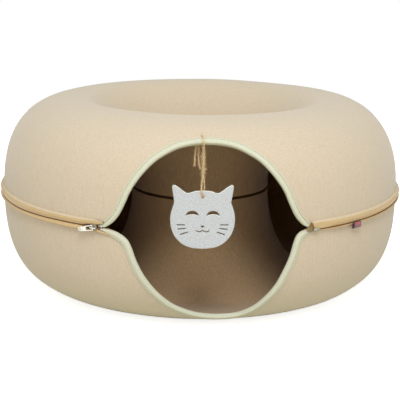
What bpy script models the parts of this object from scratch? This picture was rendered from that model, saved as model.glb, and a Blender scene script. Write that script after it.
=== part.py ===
"""Donut cat tunnel: a ring of thick felt in two turned halves, held together by
an open-ended zip round the outside and a touch strip round the centre hole.

An eye-shaped entrance is cut across both halves at the front and bound with
tape. A flat felt cat head hangs in it on jute twine. The origin is on the floor
under the middle of the footprint, with the entrance facing -Y.
"""
import math

import bpy
import bmesh
from mathutils import Vector

# Driving dimensions of the ring, in metres
FELT_RADIUS = 0.2955
FELT_THICKNESS = 0.004
HOLE_RADIUS = 0.0993
UPPER_HEIGHT = 0.134
CREST_RADIUS = 0.180
LOWER_DEPTH = 0.1413
BELLY_RADIUS = 0.185
BASE_PRESSED_FLAT = 0.0013
SEAM_GAP = 0.0006

# How square the ring's section is in each quarter: 2 is a plain ellipse
UPPER_OUTER_EXPONENT = 2.54
UPPER_HOLE_EXPONENT = 1.68
LOWER_OUTER_EXPONENT = 2.75
LOWER_HOLE_EXPONENT = 1.97

# Seam round the centre hole, where the lower wall tucks in behind the upper one
SEAM_BAND_HEIGHT = 0.012
TUCK_DEPTH = 0.0062
TUCK_RISE = 0.0040
STRIP_THICKNESS = 0.0009
STRIP_HEIGHT = 0.009
STRIP_REST = 0.0015

# Entrance, measured along the cut in the felt
ENTRANCE_HALF_WIDTH = 0.1325
ENTRANCE_BELOW_CREST = 0.0214
ENTRANCE_ABOVE_BELLY = 0.0143

# Binding tape on the entrance
BINDING_LEG = 0.0065
BINDING_THICKNESS = 0.001
BINDING_INNER_CLEARANCE = 0.0010
BINDING_FROM_SEAM = 0.0026

# Zip, set out from the felt
ZIP_STANDOFF = 0.0033
TAPE_THICKNESS = 0.0006
TAPE_EDGE = 0.0006
TAPE_FLAT = 0.0048
UPPER_TAPE_REACH = 0.009
LOWER_TAPE_REACH = 0.0075
TAPE_MARGIN_LIFT = 0.0005
COIL_THICKNESS = 0.0013
COIL_EDGE = 0.0007
COIL_WIDTH = 0.0024

# Places along the zip, measured round the ring from the tips of the entrance
TAPE_FROM_TIP = 0.0019
SLIDER_FROM_TIP = 0.0142
BOX_FROM_TIP = 0.0094
LABEL_FROM_TIP = 0.0822

# Slider and its pull
SLIDER_LENGTH = 0.0108
SLIDER_HALF_HEIGHT = 0.0043
SLIDER_PLATE = 0.0009
SLIDER_INNER_PLATE = 0.0007
FLANGE_WIDTH = 0.0007
BLADE_THICKNESS = 0.0005
BLADE_LENGTH = 0.003
CROWN_HALF_LENGTH = 0.0036
CROWN_WIDTH = 0.0016
CROWN_THICKNESS = 0.0008
CROWN_INSIDE_HEIGHT = 0.0021
PULL_LENGTH = 0.0225
PULL_WIDTH = 0.0075
PULL_END_WIDTH = 0.0058
PULL_THICKNESS = 0.0011
PULL_BAR = 0.0011
PULL_WINDOW_LENGTH = 0.0098
PULL_WINDOW_WIDTH = 0.0043
PULL_HOLE_RADIUS = 0.0008
PULL_HOLE_FROM_END = 0.0029
PULL_EDGE_ROUND = 0.0009
PULL_DROOP = math.radians(13.0)

# Stops, box and pin at the ends of the zip
STOP_LENGTH = 0.0016
STOP_INSET = 0.0006
BOX_LENGTH = 0.0088
BOX_HALF_HEIGHT = 0.0046
BOX_PLATE = 0.0011
PIN_THICKNESS = 0.0012
PIN_HEIGHT = 0.0019

# Side label, a folded tape caught in the lower margin of the zip
LABEL_WIDTH = 0.0178
LABEL_DROP = 0.0080
LABEL_FOLD = 0.0004
LABEL_GAP = 0.0005
LABEL_TOP = 0.0022

# Cat toy: a flat felt head, measured from the hole that it hangs by
TOY_THICKNESS = 0.003
TOY_HALF_WIDTH = 0.042
TOY_BELOW_HOLE = 0.0703
TOY_ABOVE_HOLE = 0.0147
TOY_HOLE_RADIUS = 0.0019
EYE_HALF_WIDTH = 0.0082
EYE_RISE = 0.0066
EYE_THICKNESS = 0.0044
EYE_OUT = 0.0136
EYE_DOWN = 0.0258
NOSE_HALF_WIDTH = 0.0021
NOSE_HALF_HEIGHT = 0.0014
NOSE_DOWN = 0.0403
MOUTH_HALF_WIDTH = 0.0086
MOUTH_DOWN = 0.0455
MOUTH_SAG = 0.0019
WHISKER_LENGTH = 0.0106
WHISKER_OUT = 0.0273
WHISKER_DOWN = 0.0429
WHISKER_PITCH = 0.0049
SLIT_WIDTH = 0.0013

# Jute twine
TWINE_DIAMETER = 0.0016
DROP_DIAMETER = 0.0026
KNOT_RADIUS = 0.0026
TWINE_HOLE_RADIUS = 0.0013
TWINE_HOLE_LEFT = 0.0019
TWINE_HOLE_ABOVE_EDGE = 0.0063
HANG_X = -0.0055
HANG_OUT = 0.0005
SWING_BELOW_EDGE = 0.0141
SWAY_BELOW_SWING = 0.0145
TWIST_BELOW_SWAY = 0.0150
TOY_HOLE_BELOW_TWIST = 0.0281
# Places of the twine, from the edge of the felt straight above the toy: its knot,
KNOT_PLACE = (-0.0060, 0.0120, -0.0048)
# its route up outside the binding and in through the felt to the knot,
OUTER_STRAND = [
    (0.0, -0.0015, -0.0125), (0.0002, -0.0023, -0.0086), (0.0004, -0.0032, -0.0041),
    (0.0003, -0.0033, -0.0001), (-0.0005, -0.0001, 0.0041), (-0.0013, 0.0044, 0.0071),
    (-0.0019, 0.0081, 0.0076), (-0.0019, 0.0099, 0.0046), (-0.0020, 0.0115, 0.0016),
    (-0.0044, 0.0119, -0.0024),
]
# from the knot back to the edge of the binding,
INNER_STRAND = [
    (-0.0045, 0.0098, -0.0059), (-0.0025, 0.0070, -0.0074), (-0.0007, 0.0032, -0.0090),
    (0.0, 0.0005, -0.0110), (0.0, 0.0005, -0.0125),
]
# and the two tails that hang from the knot
LONG_TAIL = [
    (-0.0054, 0.0120, -0.0076), (-0.0057, 0.0118, -0.0126), (-0.0062, 0.0118, -0.0206),
    (-0.0052, 0.0120, -0.0296), (-0.0040, 0.0121, -0.0356),
]
SHORT_TAIL = [
    (-0.0079, 0.0120, -0.0070), (-0.0091, 0.0118, -0.0116), (-0.0105, 0.0117, -0.0196),
    (-0.0108, 0.0120, -0.0316),
]

# Clearances and overruns
CLEARANCE = 0.0003
CUT_OVERRUN = 0.003
WELD = 0.00001

# Facets of the turned pieces
SHELL_STEPS = 60
ZIP_STEP_ANGLE = math.radians(4.0)
OUTER_PROFILE_STEPS = 9
HOLE_PROFILE_STEPS = 6
CORD_BEVEL_STEPS = 2

# Half of the upper edge of the entrance from its tip to its top, as shares of
# the half width and the rise
UPPER_EDGE_SHARES = [
    (1.0, 0.0), (0.925, 0.094), (0.870, 0.184), (0.815, 0.321), (0.767, 0.450),
    (0.705, 0.568), (0.620, 0.693), (0.522, 0.804), (0.410, 0.888), (0.288, 0.953),
    (0.144, 0.990), (0.0, 1.0),
]
# The lower edge from its left tip to its right one, as shares of the half width
# and the drop; it leans to the right
LOWER_EDGE_SHARES = [
    (-1.0, 0.0), (-0.903, -0.035), (-0.833, -0.078), (-0.786, -0.123), (-0.746, -0.209),
    (-0.711, -0.315), (-0.655, -0.441), (-0.598, -0.537), (-0.528, -0.636),
    (-0.443, -0.733), (-0.342, -0.826), (-0.225, -0.897), (-0.109, -0.952),
    (0.038, -0.991), (0.190, -1.0), (0.316, -0.977), (0.436, -0.912), (0.537, -0.821),
    (0.634, -0.702), (0.712, -0.580), (0.785, -0.418), (0.834, -0.294), (0.866, -0.172),
    (0.895, -0.084), (0.940, -0.032), (1.0, 0.0),
]
# Share of the binding's leg that is left at each tip of the entrance, and the
# number of points over which it widens to its full size
TIP_LEG_SHARE = 0.35
TIP_POINTS = 2

# The cat head's right half from its top to its chin: shares of its half width
# across, of the height above the hole where positive, and of the height below
# it where negative
TOY_OUTLINE_SHARES = [
    (0.0, 0.52), (0.24, 0.47), (0.47, 0.29), (0.60, 0.48), (0.74, 0.80), (0.855, 0.99),
    (0.915, 1.0), (0.945, 0.86), (0.93, 0.45), (0.90, -0.02), (0.88, -0.12),
    (0.93, -0.21), (0.985, -0.33), (1.0, -0.45), (0.975, -0.59), (0.89, -0.73),
    (0.74, -0.85), (0.55, -0.935), (0.30, -0.985), (0.0, -1.0),
]
# The mouth's half from its middle to its corner, as shares of its half width
# and its sag
MOUTH_SHARES = [(0.0, 0.2), (0.22, -0.7), (0.52, -1.0), (0.82, -0.6), (1.0, 0.0)]
# Tilt of the upper, middle and lower whisker, in degrees
WHISKER_TILTS = (0.0, 5.0, 18.0)
# The lowest whisker sits a little nearer the middle, as a share of the length
WHISKER_INSET_SHARES = (0.10, 0.0, -0.28)

# Sizes worked out from those above
ZIP_HEIGHT = LOWER_DEPTH - BASE_PRESSED_FLAT
ENTRANCE_RISE = UPPER_HEIGHT - ENTRANCE_BELOW_CREST
ENTRANCE_DROP = LOWER_DEPTH - ENTRANCE_ABOVE_BELLY
TIP_ANGLE = math.asin(ENTRANCE_HALF_WIDTH / FELT_RADIUS)
TAPE_START_ANGLE = TIP_ANGLE + TAPE_FROM_TIP / FELT_RADIUS
SLIDER_ANGLE = -TIP_ANGLE - SLIDER_FROM_TIP / FELT_RADIUS
BOX_ANGLE = TIP_ANGLE + BOX_FROM_TIP / FELT_RADIUS
LABEL_ANGLE = TIP_ANGLE + LABEL_FROM_TIP / FELT_RADIUS
TWINE_HOLE_X = HANG_X - TWINE_HOLE_LEFT
TWINE_HOLE_RISE = ENTRANCE_RISE + TWINE_HOLE_ABOVE_EDGE
TAPE_INNER = FELT_RADIUS + ZIP_STANDOFF
TAPE_OUTER = TAPE_INNER + TAPE_THICKNESS
COIL_OUTER = TAPE_INNER - CLEARANCE
COIL_INNER = COIL_OUTER - COIL_THICKNESS
PLATE_INNER = TAPE_OUTER + 1.6 * CLEARANCE
PLATE_OUTER = PLATE_INNER + SLIDER_PLATE
INNER_PLATE_OUTER = COIL_INNER - 1.2 * CLEARANCE
INNER_PLATE_INNER = INNER_PLATE_OUTER - SLIDER_INNER_PLATE
PULL_AXIS_RADIUS = PLATE_OUTER + (CLEARANCE + CROWN_INSIDE_HEIGHT) / 2
LIP_OUTER = HOLE_RADIUS - 3 * CLEARANCE - 2 * STRIP_THICKNESS
LIP_HOLE_RADIUS = LIP_OUTER - FELT_THICKNESS


# Start from an empty file
for old in list(bpy.data.objects):
    bpy.data.objects.remove(old, do_unlink=True)

model = bpy.data.collections.new("donut_cat_tunnel")
bpy.context.scene.collection.children.link(model)
cutters = bpy.data.collections.new("cutters")
bpy.context.scene.collection.children.link(cutters)


# Materials
def material(name, colour, roughness, metallic=0.0):
    mat = bpy.data.materials.new(name)
    mat.use_nodes = True
    shader = mat.node_tree.nodes["Principled BSDF"]
    shader.inputs["Base Color"].default_value = (*colour, 1.0)
    shader.inputs["Roughness"].default_value = roughness
    shader.inputs["Metallic"].default_value = metallic
    return mat


FELT = material("warm_beige_felt", (0.72, 0.62, 0.46), 0.95)
BINDING = material("pale_green_binding", (0.76, 0.75, 0.55), 0.85)
TAPE = material("ochre_zip_tape", (0.60, 0.44, 0.24), 0.80)
COIL = material("brown_zip_coil", (0.32, 0.20, 0.10), 0.50)
SILVER = material("silver_metal", (0.80, 0.80, 0.80), 0.28, 1.0)
HOOKS = material("beige_touch_strip", (0.55, 0.45, 0.32), 0.90)
LABEL = material("maroon_label", (0.28, 0.05, 0.05), 0.80)
TOY_FELT = material("light_grey_felt", (0.66, 0.66, 0.63), 0.95)
JUTE = material("jute_twine", (0.55, 0.40, 0.22), 0.90)


# Helpers
def add_object(name, data, mat, parent, collection=model):
    obj = bpy.data.objects.new(name, data)
    collection.objects.link(obj)
    obj.parent = parent
    if mat is not None:
        data.materials.append(mat)
    return obj


def add_empty(name, location=(0, 0, 0), rotation=(0, 0, 0), parent=None):
    empty = bpy.data.objects.new(name, None)
    model.objects.link(empty)
    empty.parent = parent
    empty.location = location
    empty.rotation_euler = rotation
    empty.empty_display_size = FELT_THICKNESS
    return empty


def hide_cutter(obj):
    obj.hide_render = True
    obj.display_type = "WIRE"


def polyline_mesh(name, points):
    mesh = bpy.data.meshes.new(name)
    edges = [(i, i + 1) for i in range(len(points) - 1)]
    mesh.from_pydata(points, edges, [])
    return mesh


def add_screw(obj, angle, steps):
    screw = obj.modifiers.new("Screw", "SCREW")
    screw.axis = "Z"
    screw.angle = angle
    screw.steps = steps
    screw.render_steps = steps
    screw.use_merge_vertices = True
    screw.merge_threshold = WELD


def add_solidify(obj, thickness):
    solidify = obj.modifiers.new("Solidify", "SOLIDIFY")
    solidify.thickness = thickness
    solidify.offset = -1.0
    solidify.use_even_offset = True


def add_boolean(obj, cutter, operation="DIFFERENCE"):
    boolean = obj.modifiers.new("Boolean", "BOOLEAN")
    boolean.operation = operation
    boolean.object = cutter
    boolean.solver = "EXACT"


def turned_sheet(name, profile, thickness, mat, parent):
    """A full turn of a profile of (radius, height), thickened inwards."""
    points = [(radius, 0, height) for radius, height in profile]
    obj = add_object(name, polyline_mesh(name, points), mat, parent)
    add_screw(obj, math.tau, SHELL_STEPS)
    add_solidify(obj, thickness)
    return obj


def zip_ring(name, profile, thickness, left, right, mat, parent):
    """A stretch of the zip: a profile turned round the back from its right end
    to its left one, with angles measured from the entrance."""
    sweep = math.tau + left - right
    steps = round(sweep / ZIP_STEP_ANGLE)
    turn = right - math.pi / 2
    points = [(r * math.cos(turn), r * math.sin(turn), z) for r, z in profile]
    obj = add_object(name, polyline_mesh(name, points), mat, parent)
    add_screw(obj, sweep, steps)
    add_solidify(obj, thickness)
    return obj


def box_mesh(name, size, centre):
    mesh = bpy.data.meshes.new(name)
    bm = bmesh.new()
    bmesh.ops.create_cube(bm, size=1.0)
    bmesh.ops.scale(bm, vec=Vector(size), verts=bm.verts)
    bmesh.ops.translate(bm, vec=Vector(centre), verts=bm.verts)
    bm.to_mesh(mesh)
    bm.free()
    return mesh


def block(name, width, radii, heights, mat, parent, along=0.0, collection=model):
    """A box between two radii and two heights, facing out along -Y."""
    size = (width, radii[1] - radii[0], heights[1] - heights[0])
    centre = (along, -(radii[0] + radii[1]) / 2, (heights[0] + heights[1]) / 2)
    return add_object(name, box_mesh(name, size, centre), mat, parent, collection)


def flat_plate(name, outlines, thickness, mat, parent, collection=model):
    """Closed outlines in X and Y, the inner ones as holes, with a thickness."""
    curve = bpy.data.curves.new(name, "CURVE")
    curve.dimensions = "2D"
    curve.fill_mode = "BOTH"
    curve.extrude = thickness / 2
    for outline in outlines:
        spline = curve.splines.new("POLY")
        spline.points.add(len(outline) - 1)
        for point, (x, y) in zip(spline.points, outline):
            point.co = (x, y, 0, 1)
        spline.use_cyclic_u = True
    return add_object(name, curve, mat, parent, collection)


def cord(name, points, diameter, mat, parent, closed=False):
    curve = bpy.data.curves.new(name, "CURVE")
    curve.dimensions = "3D"
    curve.bevel_depth = diameter / 2
    curve.bevel_resolution = CORD_BEVEL_STEPS
    curve.use_fill_caps = True
    spline = curve.splines.new("POLY")
    spline.points.add(len(points) - 1)
    for point, co in zip(spline.points, points):
        point.co = (*co, 1)
    spline.use_cyclic_u = closed
    return add_object(name, curve, mat, parent)


def as_mesh(obj):
    """The same object as a welded mesh, which a Boolean can use."""
    bpy.context.view_layer.update()
    graph = bpy.context.evaluated_depsgraph_get()
    mesh = bpy.data.meshes.new_from_object(obj.evaluated_get(graph))
    bm = bmesh.new()
    bm.from_mesh(mesh)
    bmesh.ops.remove_doubles(bm, verts=bm.verts, dist=WELD)
    bm.to_mesh(mesh)
    bm.free()
    name, parent, collection = obj.name, obj.parent, obj.users_collection[0]
    matrix = obj.matrix_world.copy()
    bpy.data.objects.remove(obj, do_unlink=True)
    result = add_object(name, mesh, None, parent, collection)
    result.matrix_world = matrix
    return result


def smooth_through(points, spans, closed=False):
    """Points on a Catmull-Rom curve through the given ones."""
    count = len(points)
    path = []
    for i in range(count if closed else count - 1):
        if closed:
            picked = [points[(i + k) % count] for k in (-1, 0, 1, 2)]
        else:
            picked = [points[min(max(i + k, 0), count - 1)] for k in (-1, 0, 1, 2)]
        a, b, c, d = [Vector(p) for p in picked]
        for step in range(spans):
            t = step / spans
            path.append(0.5 * (2 * b + (c - a) * t + (2 * a - 5 * b + 4 * c - d) * t ** 2
                               + (3 * b - a - 3 * c + d) * t ** 3))
    if not closed:
        path.append(Vector(points[-1]))
    return path


def shade_round(obj, angle=math.radians(35.0)):
    if obj.type == "MESH":
        obj.data.shade_smooth()
        obj.data.set_sharp_from_angle(angle=angle)


# Section of the ring, with heights measured from the plane of the zip
def quarter(crest, edge, height, exponent, turns):
    """Points of a quarter of a squared ellipse at the given turns, where 0 is
    the edge and a right angle is the crest."""
    power = 2 / exponent
    return [
        (crest + (edge - crest) * math.cos(turn) ** power, height * math.sin(turn) ** power)
        for turn in turns
    ]


def even_turns(first, last, steps):
    return [first + (last - first) * i / steps for i in range(steps + 1)]


def arc(centre, half_width, rise, first, last, steps):
    turns = even_turns(first, last, steps)
    return [(centre[0] + half_width * math.cos(t), centre[1] + rise * math.sin(t)) for t in turns]


def turn_at(height, full_height, exponent):
    """The turn at which a quarter reaches a height."""
    return math.asin((abs(height) / full_height) ** (exponent / 2))


def upper_profile():
    low = SEAM_GAP / 2
    rise = UPPER_HEIGHT - SEAM_BAND_HEIGHT
    start = turn_at(SEAM_BAND_HEIGHT / 2, rise, UPPER_HOLE_EXPONENT)
    hole_side = quarter(CREST_RADIUS, HOLE_RADIUS, rise, UPPER_HOLE_EXPONENT,
                        even_turns(start, math.pi / 2, HOLE_PROFILE_STEPS))
    hole_side = [(radius, height + SEAM_BAND_HEIGHT) for radius, height in hole_side]
    end = turn_at(low, UPPER_HEIGHT, UPPER_OUTER_EXPONENT)
    outer_side = quarter(CREST_RADIUS, FELT_RADIUS, UPPER_HEIGHT, UPPER_OUTER_EXPONENT,
                         even_turns(math.pi / 2, end, OUTER_PROFILE_STEPS)[1:])
    return [(HOLE_RADIUS, low), (HOLE_RADIUS, SEAM_BAND_HEIGHT)] + hole_side + outer_side


def lower_profile():
    low = -SEAM_GAP / 2
    outer_flat = turn_at(ZIP_HEIGHT, LOWER_DEPTH, LOWER_OUTER_EXPONENT)
    inner_flat = turn_at(ZIP_HEIGHT, LOWER_DEPTH, LOWER_HOLE_EXPONENT)
    start = turn_at(low, LOWER_DEPTH, LOWER_OUTER_EXPONENT)
    end = turn_at(TUCK_DEPTH, LOWER_DEPTH, LOWER_HOLE_EXPONENT)
    outer_side = quarter(BELLY_RADIUS, FELT_RADIUS, -LOWER_DEPTH, LOWER_OUTER_EXPONENT,
                         even_turns(start, outer_flat, OUTER_PROFILE_STEPS))
    hole_side = quarter(BELLY_RADIUS, HOLE_RADIUS, -LOWER_DEPTH, LOWER_HOLE_EXPONENT,
                        even_turns(inner_flat, end, HOLE_PROFILE_STEPS))
    tuck = [(LIP_HOLE_RADIUS, TUCK_RISE - TUCK_DEPTH), (LIP_HOLE_RADIUS, SEAM_BAND_HEIGHT)]
    return outer_side + hole_side + tuck


def felt_radius(height):
    """Radius of the felt's outside at a height above or below the zip."""
    if height >= 0:
        crest, full, exponent = CREST_RADIUS, UPPER_HEIGHT, UPPER_OUTER_EXPONENT
    else:
        crest, full, exponent = BELLY_RADIUS, LOWER_DEPTH, LOWER_OUTER_EXPONENT
    share = (1 - (abs(height) / full) ** exponent) ** (1 / exponent)
    return crest + (FELT_RADIUS - crest) * share


def felt_point(x, height):
    radius = felt_radius(height)
    return Vector((x, -math.sqrt(radius ** 2 - x ** 2), height))


def felt_normal(x, height):
    """Outward normal of the felt at the front of the ring."""
    step = FELT_THICKNESS / 8
    across = felt_point(x + step, height) - felt_point(x - step, height)
    upward = felt_point(x, height + step) - felt_point(x, height - step)
    return across.cross(upward).normalized()


def upper_edge():
    right = [(x * ENTRANCE_HALF_WIDTH, z * ENTRANCE_RISE) for x, z in UPPER_EDGE_SHARES]
    left = [(-x, z) for x, z in right[:-1]]
    return left + right[::-1]


def lower_edge():
    return [(x * ENTRANCE_HALF_WIDTH, z * ENTRANCE_DROP) for x, z in LOWER_EDGE_SHARES]


# Cutters
def entrance_cutter(parent):
    """A loft through the edge of the entrance along the felt's normals, so that
    the felt is cut square to its surface."""
    outline = upper_edge() + lower_edge()[-2:0:-1]
    centre = Vector((0, -(CREST_RADIUS + BELLY_RADIUS) / 2, 0))
    bm = bmesh.new()
    rings = []
    for overrun in (-FELT_THICKNESS - CUT_OVERRUN, CUT_OVERRUN):
        ring = []
        for x, height in outline:
            ring.append(bm.verts.new(felt_point(x, height) + felt_normal(x, height) * overrun))
        rings.append(ring)
    inner, outer = rings
    count = len(outline)
    for i in range(count):
        j = (i + 1) % count
        bm.faces.new((inner[i], inner[j], outer[j], outer[i]))
    back = bm.verts.new(centre)
    front = bm.verts.new(Vector((0, -2 * FELT_RADIUS, 0)))
    for i in range(count):
        j = (i + 1) % count
        bm.faces.new((back, inner[j], inner[i]))
        bm.faces.new((front, outer[i], outer[j]))
    bmesh.ops.recalc_face_normals(bm, faces=bm.faces)
    mesh = bpy.data.meshes.new("entrance_cutter")
    bm.to_mesh(mesh)
    bm.free()
    obj = add_object("entrance_cutter", mesh, None, parent, cutters)
    hide_cutter(obj)
    return obj


def twine_hole_cutter(parent):
    centre = felt_point(TWINE_HOLE_X, TWINE_HOLE_RISE)
    normal = felt_normal(TWINE_HOLE_X, TWINE_HOLE_RISE)
    mesh = bpy.data.meshes.new("twine_hole_cutter")
    bm = bmesh.new()
    bmesh.ops.create_cone(bm, cap_ends=True, segments=8, radius1=TWINE_HOLE_RADIUS,
                          radius2=TWINE_HOLE_RADIUS, depth=2 * (FELT_THICKNESS + CUT_OVERRUN))
    bm.to_mesh(mesh)
    bm.free()
    obj = add_object("twine_hole_cutter", mesh, None, parent, cutters)
    obj.location = centre
    obj.rotation_euler = normal.to_track_quat("Z", "Y").to_euler()
    hide_cutter(obj)
    return obj


# Felt halves
def felt_shells(lower, upper):
    cut = entrance_cutter(lower)
    top = turned_sheet("upper_felt_shell", upper_profile(), FELT_THICKNESS, FELT, upper)
    bottom = turned_sheet("lower_felt_shell", lower_profile(), FELT_THICKNESS, FELT, lower)
    add_boolean(top, cut)
    add_boolean(top, twine_hole_cutter(upper))
    add_boolean(bottom, cut)


# Binding of the entrance
def clear_of_seam(edge):
    """The edge with each tip moved along it until the binding clears the seam."""
    clear = list(edge)
    for tip, following in ((0, 1), (-1, -2)):
        share = min(1.0, BINDING_FROM_SEAM / abs(edge[following][1]))
        clear[tip] = tuple(Vector(edge[tip]).lerp(Vector(edge[following]), share))
    return clear


def binding(name, edge, parent):
    """A folded tape over the cut edge: a leg outside, a turn and a leg inside,
    drawn as an open sheet that Solidify thickens away from the felt. The edge
    runs with the opening on its right as seen from the front."""
    points = [felt_point(x, height) for x, height in clear_of_seam(edge)]
    rows = []
    last = len(points) - 1
    for i, point in enumerate(points):
        along = (points[min(i + 1, last)] - points[max(i - 1, 0)]).normalized()
        normal = felt_normal(point.x, point.z)
        away = normal.cross(along).normalized()
        from_tip = min(i, last - i)
        share = min(1.0, TIP_LEG_SHARE + (1 - TIP_LEG_SHARE) * from_tip / TIP_POINTS)
        leg = BINDING_LEG * share
        far = point + away * leg
        far = felt_point(far.x, far.z)
        far_normal = felt_normal(far.x, far.z)
        outside = CLEARANCE
        inside = -FELT_THICKNESS - BINDING_INNER_CLEARANCE
        turn = point - away * CLEARANCE
        rows.append((far + far_normal * outside, turn + normal * outside,
                     turn + normal * inside, far + far_normal * inside))
    mesh = bpy.data.meshes.new(name)
    bm = bmesh.new()
    grid = [[bm.verts.new(co) for co in row] for row in rows]
    for row, following in zip(grid, grid[1:]):
        for k in range(len(row) - 1):
            bm.faces.new((row[k], row[k + 1], following[k + 1], following[k]))
    bm.to_mesh(mesh)
    bm.free()
    obj = add_object(name, mesh, BINDING, parent)
    solidify = obj.modifiers.new("Solidify", "SOLIDIFY")
    solidify.thickness = BINDING_THICKNESS
    solidify.offset = 1.0
    solidify.use_even_offset = True
    return obj


# Zip
def zip_tapes(lower, upper):
    """Each tape lies flat over the coil and slopes down to the felt at its
    stitched margin."""
    left, right = -TAPE_START_ANGLE, TAPE_START_ANGLE
    margin = FELT_RADIUS + TAPE_MARGIN_LIFT + TAPE_THICKNESS
    profile = [(margin, UPPER_TAPE_REACH), (TAPE_OUTER, TAPE_FLAT), (TAPE_OUTER, TAPE_EDGE)]
    zip_ring("upper_zip_tape", profile, TAPE_THICKNESS, left, right, TAPE, upper)
    profile = [(TAPE_OUTER, -TAPE_EDGE), (TAPE_OUTER, -TAPE_FLAT), (margin, -LOWER_TAPE_REACH)]
    zip_ring("lower_zip_tape", profile, TAPE_THICKNESS, left, right, TAPE, lower)


def zip_coils(lower, upper):
    """The coils lie behind the tapes. The upper one stops behind the parked
    slider, so that the upper half can lift."""
    far = COIL_EDGE + COIL_WIDTH
    gap = CLEARANCE / FELT_RADIUS
    right = BOX_ANGLE + BOX_LENGTH / 2 / FELT_RADIUS + gap
    left = -TAPE_START_ANGLE - STOP_INSET / FELT_RADIUS - STOP_LENGTH / FELT_RADIUS - gap
    behind_slider = SLIDER_ANGLE - SLIDER_LENGTH / 2 / FELT_RADIUS - gap
    zip_ring("lower_zip_coil", [(COIL_OUTER, -COIL_EDGE), (COIL_OUTER, -far)],
             COIL_THICKNESS, left, right, COIL, lower)
    zip_ring("upper_zip_coil", [(COIL_OUTER, far), (COIL_OUTER, COIL_EDGE)],
             COIL_THICKNESS, behind_slider, right, COIL, upper)


def zip_ends(lower, upper):
    """Top stops at the left end of each coil, and the retaining box with its
    insertion pin at the right end."""
    radii = (COIL_INNER, COIL_OUTER)
    far = COIL_EDGE + COIL_WIDTH
    stop_angle = -TAPE_START_ANGLE - (STOP_INSET + STOP_LENGTH / 2) / FELT_RADIUS
    for name, parent, heights in (
        ("lower_top_stop", lower, (-far, -COIL_EDGE)),
        ("upper_top_stop", upper, (COIL_EDGE, far)),
    ):
        stop = block(name, STOP_LENGTH, radii, heights, SILVER, parent)
        stop.rotation_euler.z = stop_angle

    web = TAPE_EDGE - CLEARANCE
    leg = TAPE_OUTER + CLEARANCE
    outline = [
        (COIL_INNER, -BOX_HALF_HEIGHT), (COIL_OUTER, -BOX_HALF_HEIGHT), (COIL_OUTER, -web),
        (leg, -web), (leg, -BOX_HALF_HEIGHT), (leg + BOX_PLATE, -BOX_HALF_HEIGHT),
        (leg + BOX_PLATE, web), (COIL_INNER, web),
    ]
    holder = add_empty("box_place", rotation=(0, 0, BOX_ANGLE), parent=lower)
    box = flat_plate("zip_retaining_box", [outline], BOX_LENGTH, SILVER, holder)
    box.rotation_euler = (math.pi / 2, 0, -math.pi / 2)

    pin_bottom = web + CLEARANCE
    pin_radii = (COIL_OUTER - PIN_THICKNESS, COIL_OUTER)
    pin = block("zip_insertion_pin", BOX_LENGTH, pin_radii, (pin_bottom, pin_bottom + PIN_HEIGHT),
                SILVER, upper)
    pin.rotation_euler.z = BOX_ANGLE


def slider_plate(name, radii, parent, mat=None, collection=model):
    """A plate that is widest near its nose, which points to the entrance."""
    half_shares = [(-0.5, 0.88), (-0.4, 1.0), (0.25, 1.0), (0.42, 0.82), (0.5, 0.5)]
    half = [(x * SLIDER_LENGTH, z * SLIDER_HALF_HEIGHT) for x, z in half_shares]
    outline = half + [(x, -z) for x, z in half[::-1]]
    plate = flat_plate(name, [outline], radii[1] - radii[0], mat, parent, collection)
    plate.location.y = -(radii[0] + radii[1]) / 2
    plate.rotation_euler.x = math.pi / 2
    return as_mesh(plate)


def slider(hinge):
    body = slider_plate("slider_body", (PLATE_INNER, PLATE_OUTER), hinge, SILVER)
    inner = slider_plate("slider_inner_plate", (INNER_PLATE_INNER, INNER_PLATE_OUTER), hinge,
                         collection=cutters)
    flange_radii = ((INNER_PLATE_INNER + INNER_PLATE_OUTER) / 2, TAPE_INNER - 2 * CLEARANCE)
    outside = SLIDER_HALF_HEIGHT * 0.97
    blade_along = SLIDER_LENGTH / 2 - BLADE_LENGTH
    blade_radii = (flange_radii[0], (PLATE_INNER + PLATE_OUTER) / 2)
    pieces = [inner]
    pieces.append(block("slider_blade", BLADE_LENGTH, blade_radii,
                        (-BLADE_THICKNESS / 2, BLADE_THICKNESS / 2), None, hinge,
                        along=blade_along, collection=cutters))
    for side in (-1, 1):
        heights = sorted((side * outside, side * (outside - FLANGE_WIDTH)))
        pieces.append(block("slider_flange", SLIDER_LENGTH / 2, flange_radii, heights, None, hinge,
                            along=-SLIDER_LENGTH / 8, collection=cutters))
    for piece in pieces:
        hide_cutter(piece)
        add_boolean(body, piece, "UNION")
    return body


def slider_crown(hinge):
    a, t, h = CROWN_HALF_LENGTH, CROWN_THICKNESS, CROWN_INSIDE_HEIGHT
    right = [(a + t, 0), (a + t, 0.55 * h), (a - t, h + t)]
    inside = [(a - 1.5 * t, h), (a, 0.45 * h), (a, 0)]
    outline = right + [(-x, y) for x, y in right[::-1]] + [(-x, y) for x, y in inside[::-1]] + inside
    crown = flat_plate("slider_crown", [outline], CROWN_WIDTH, SILVER, hinge)
    crown.location.y = -PLATE_OUTER - CLEARANCE
    crown.rotation_euler.x = math.pi


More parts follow.
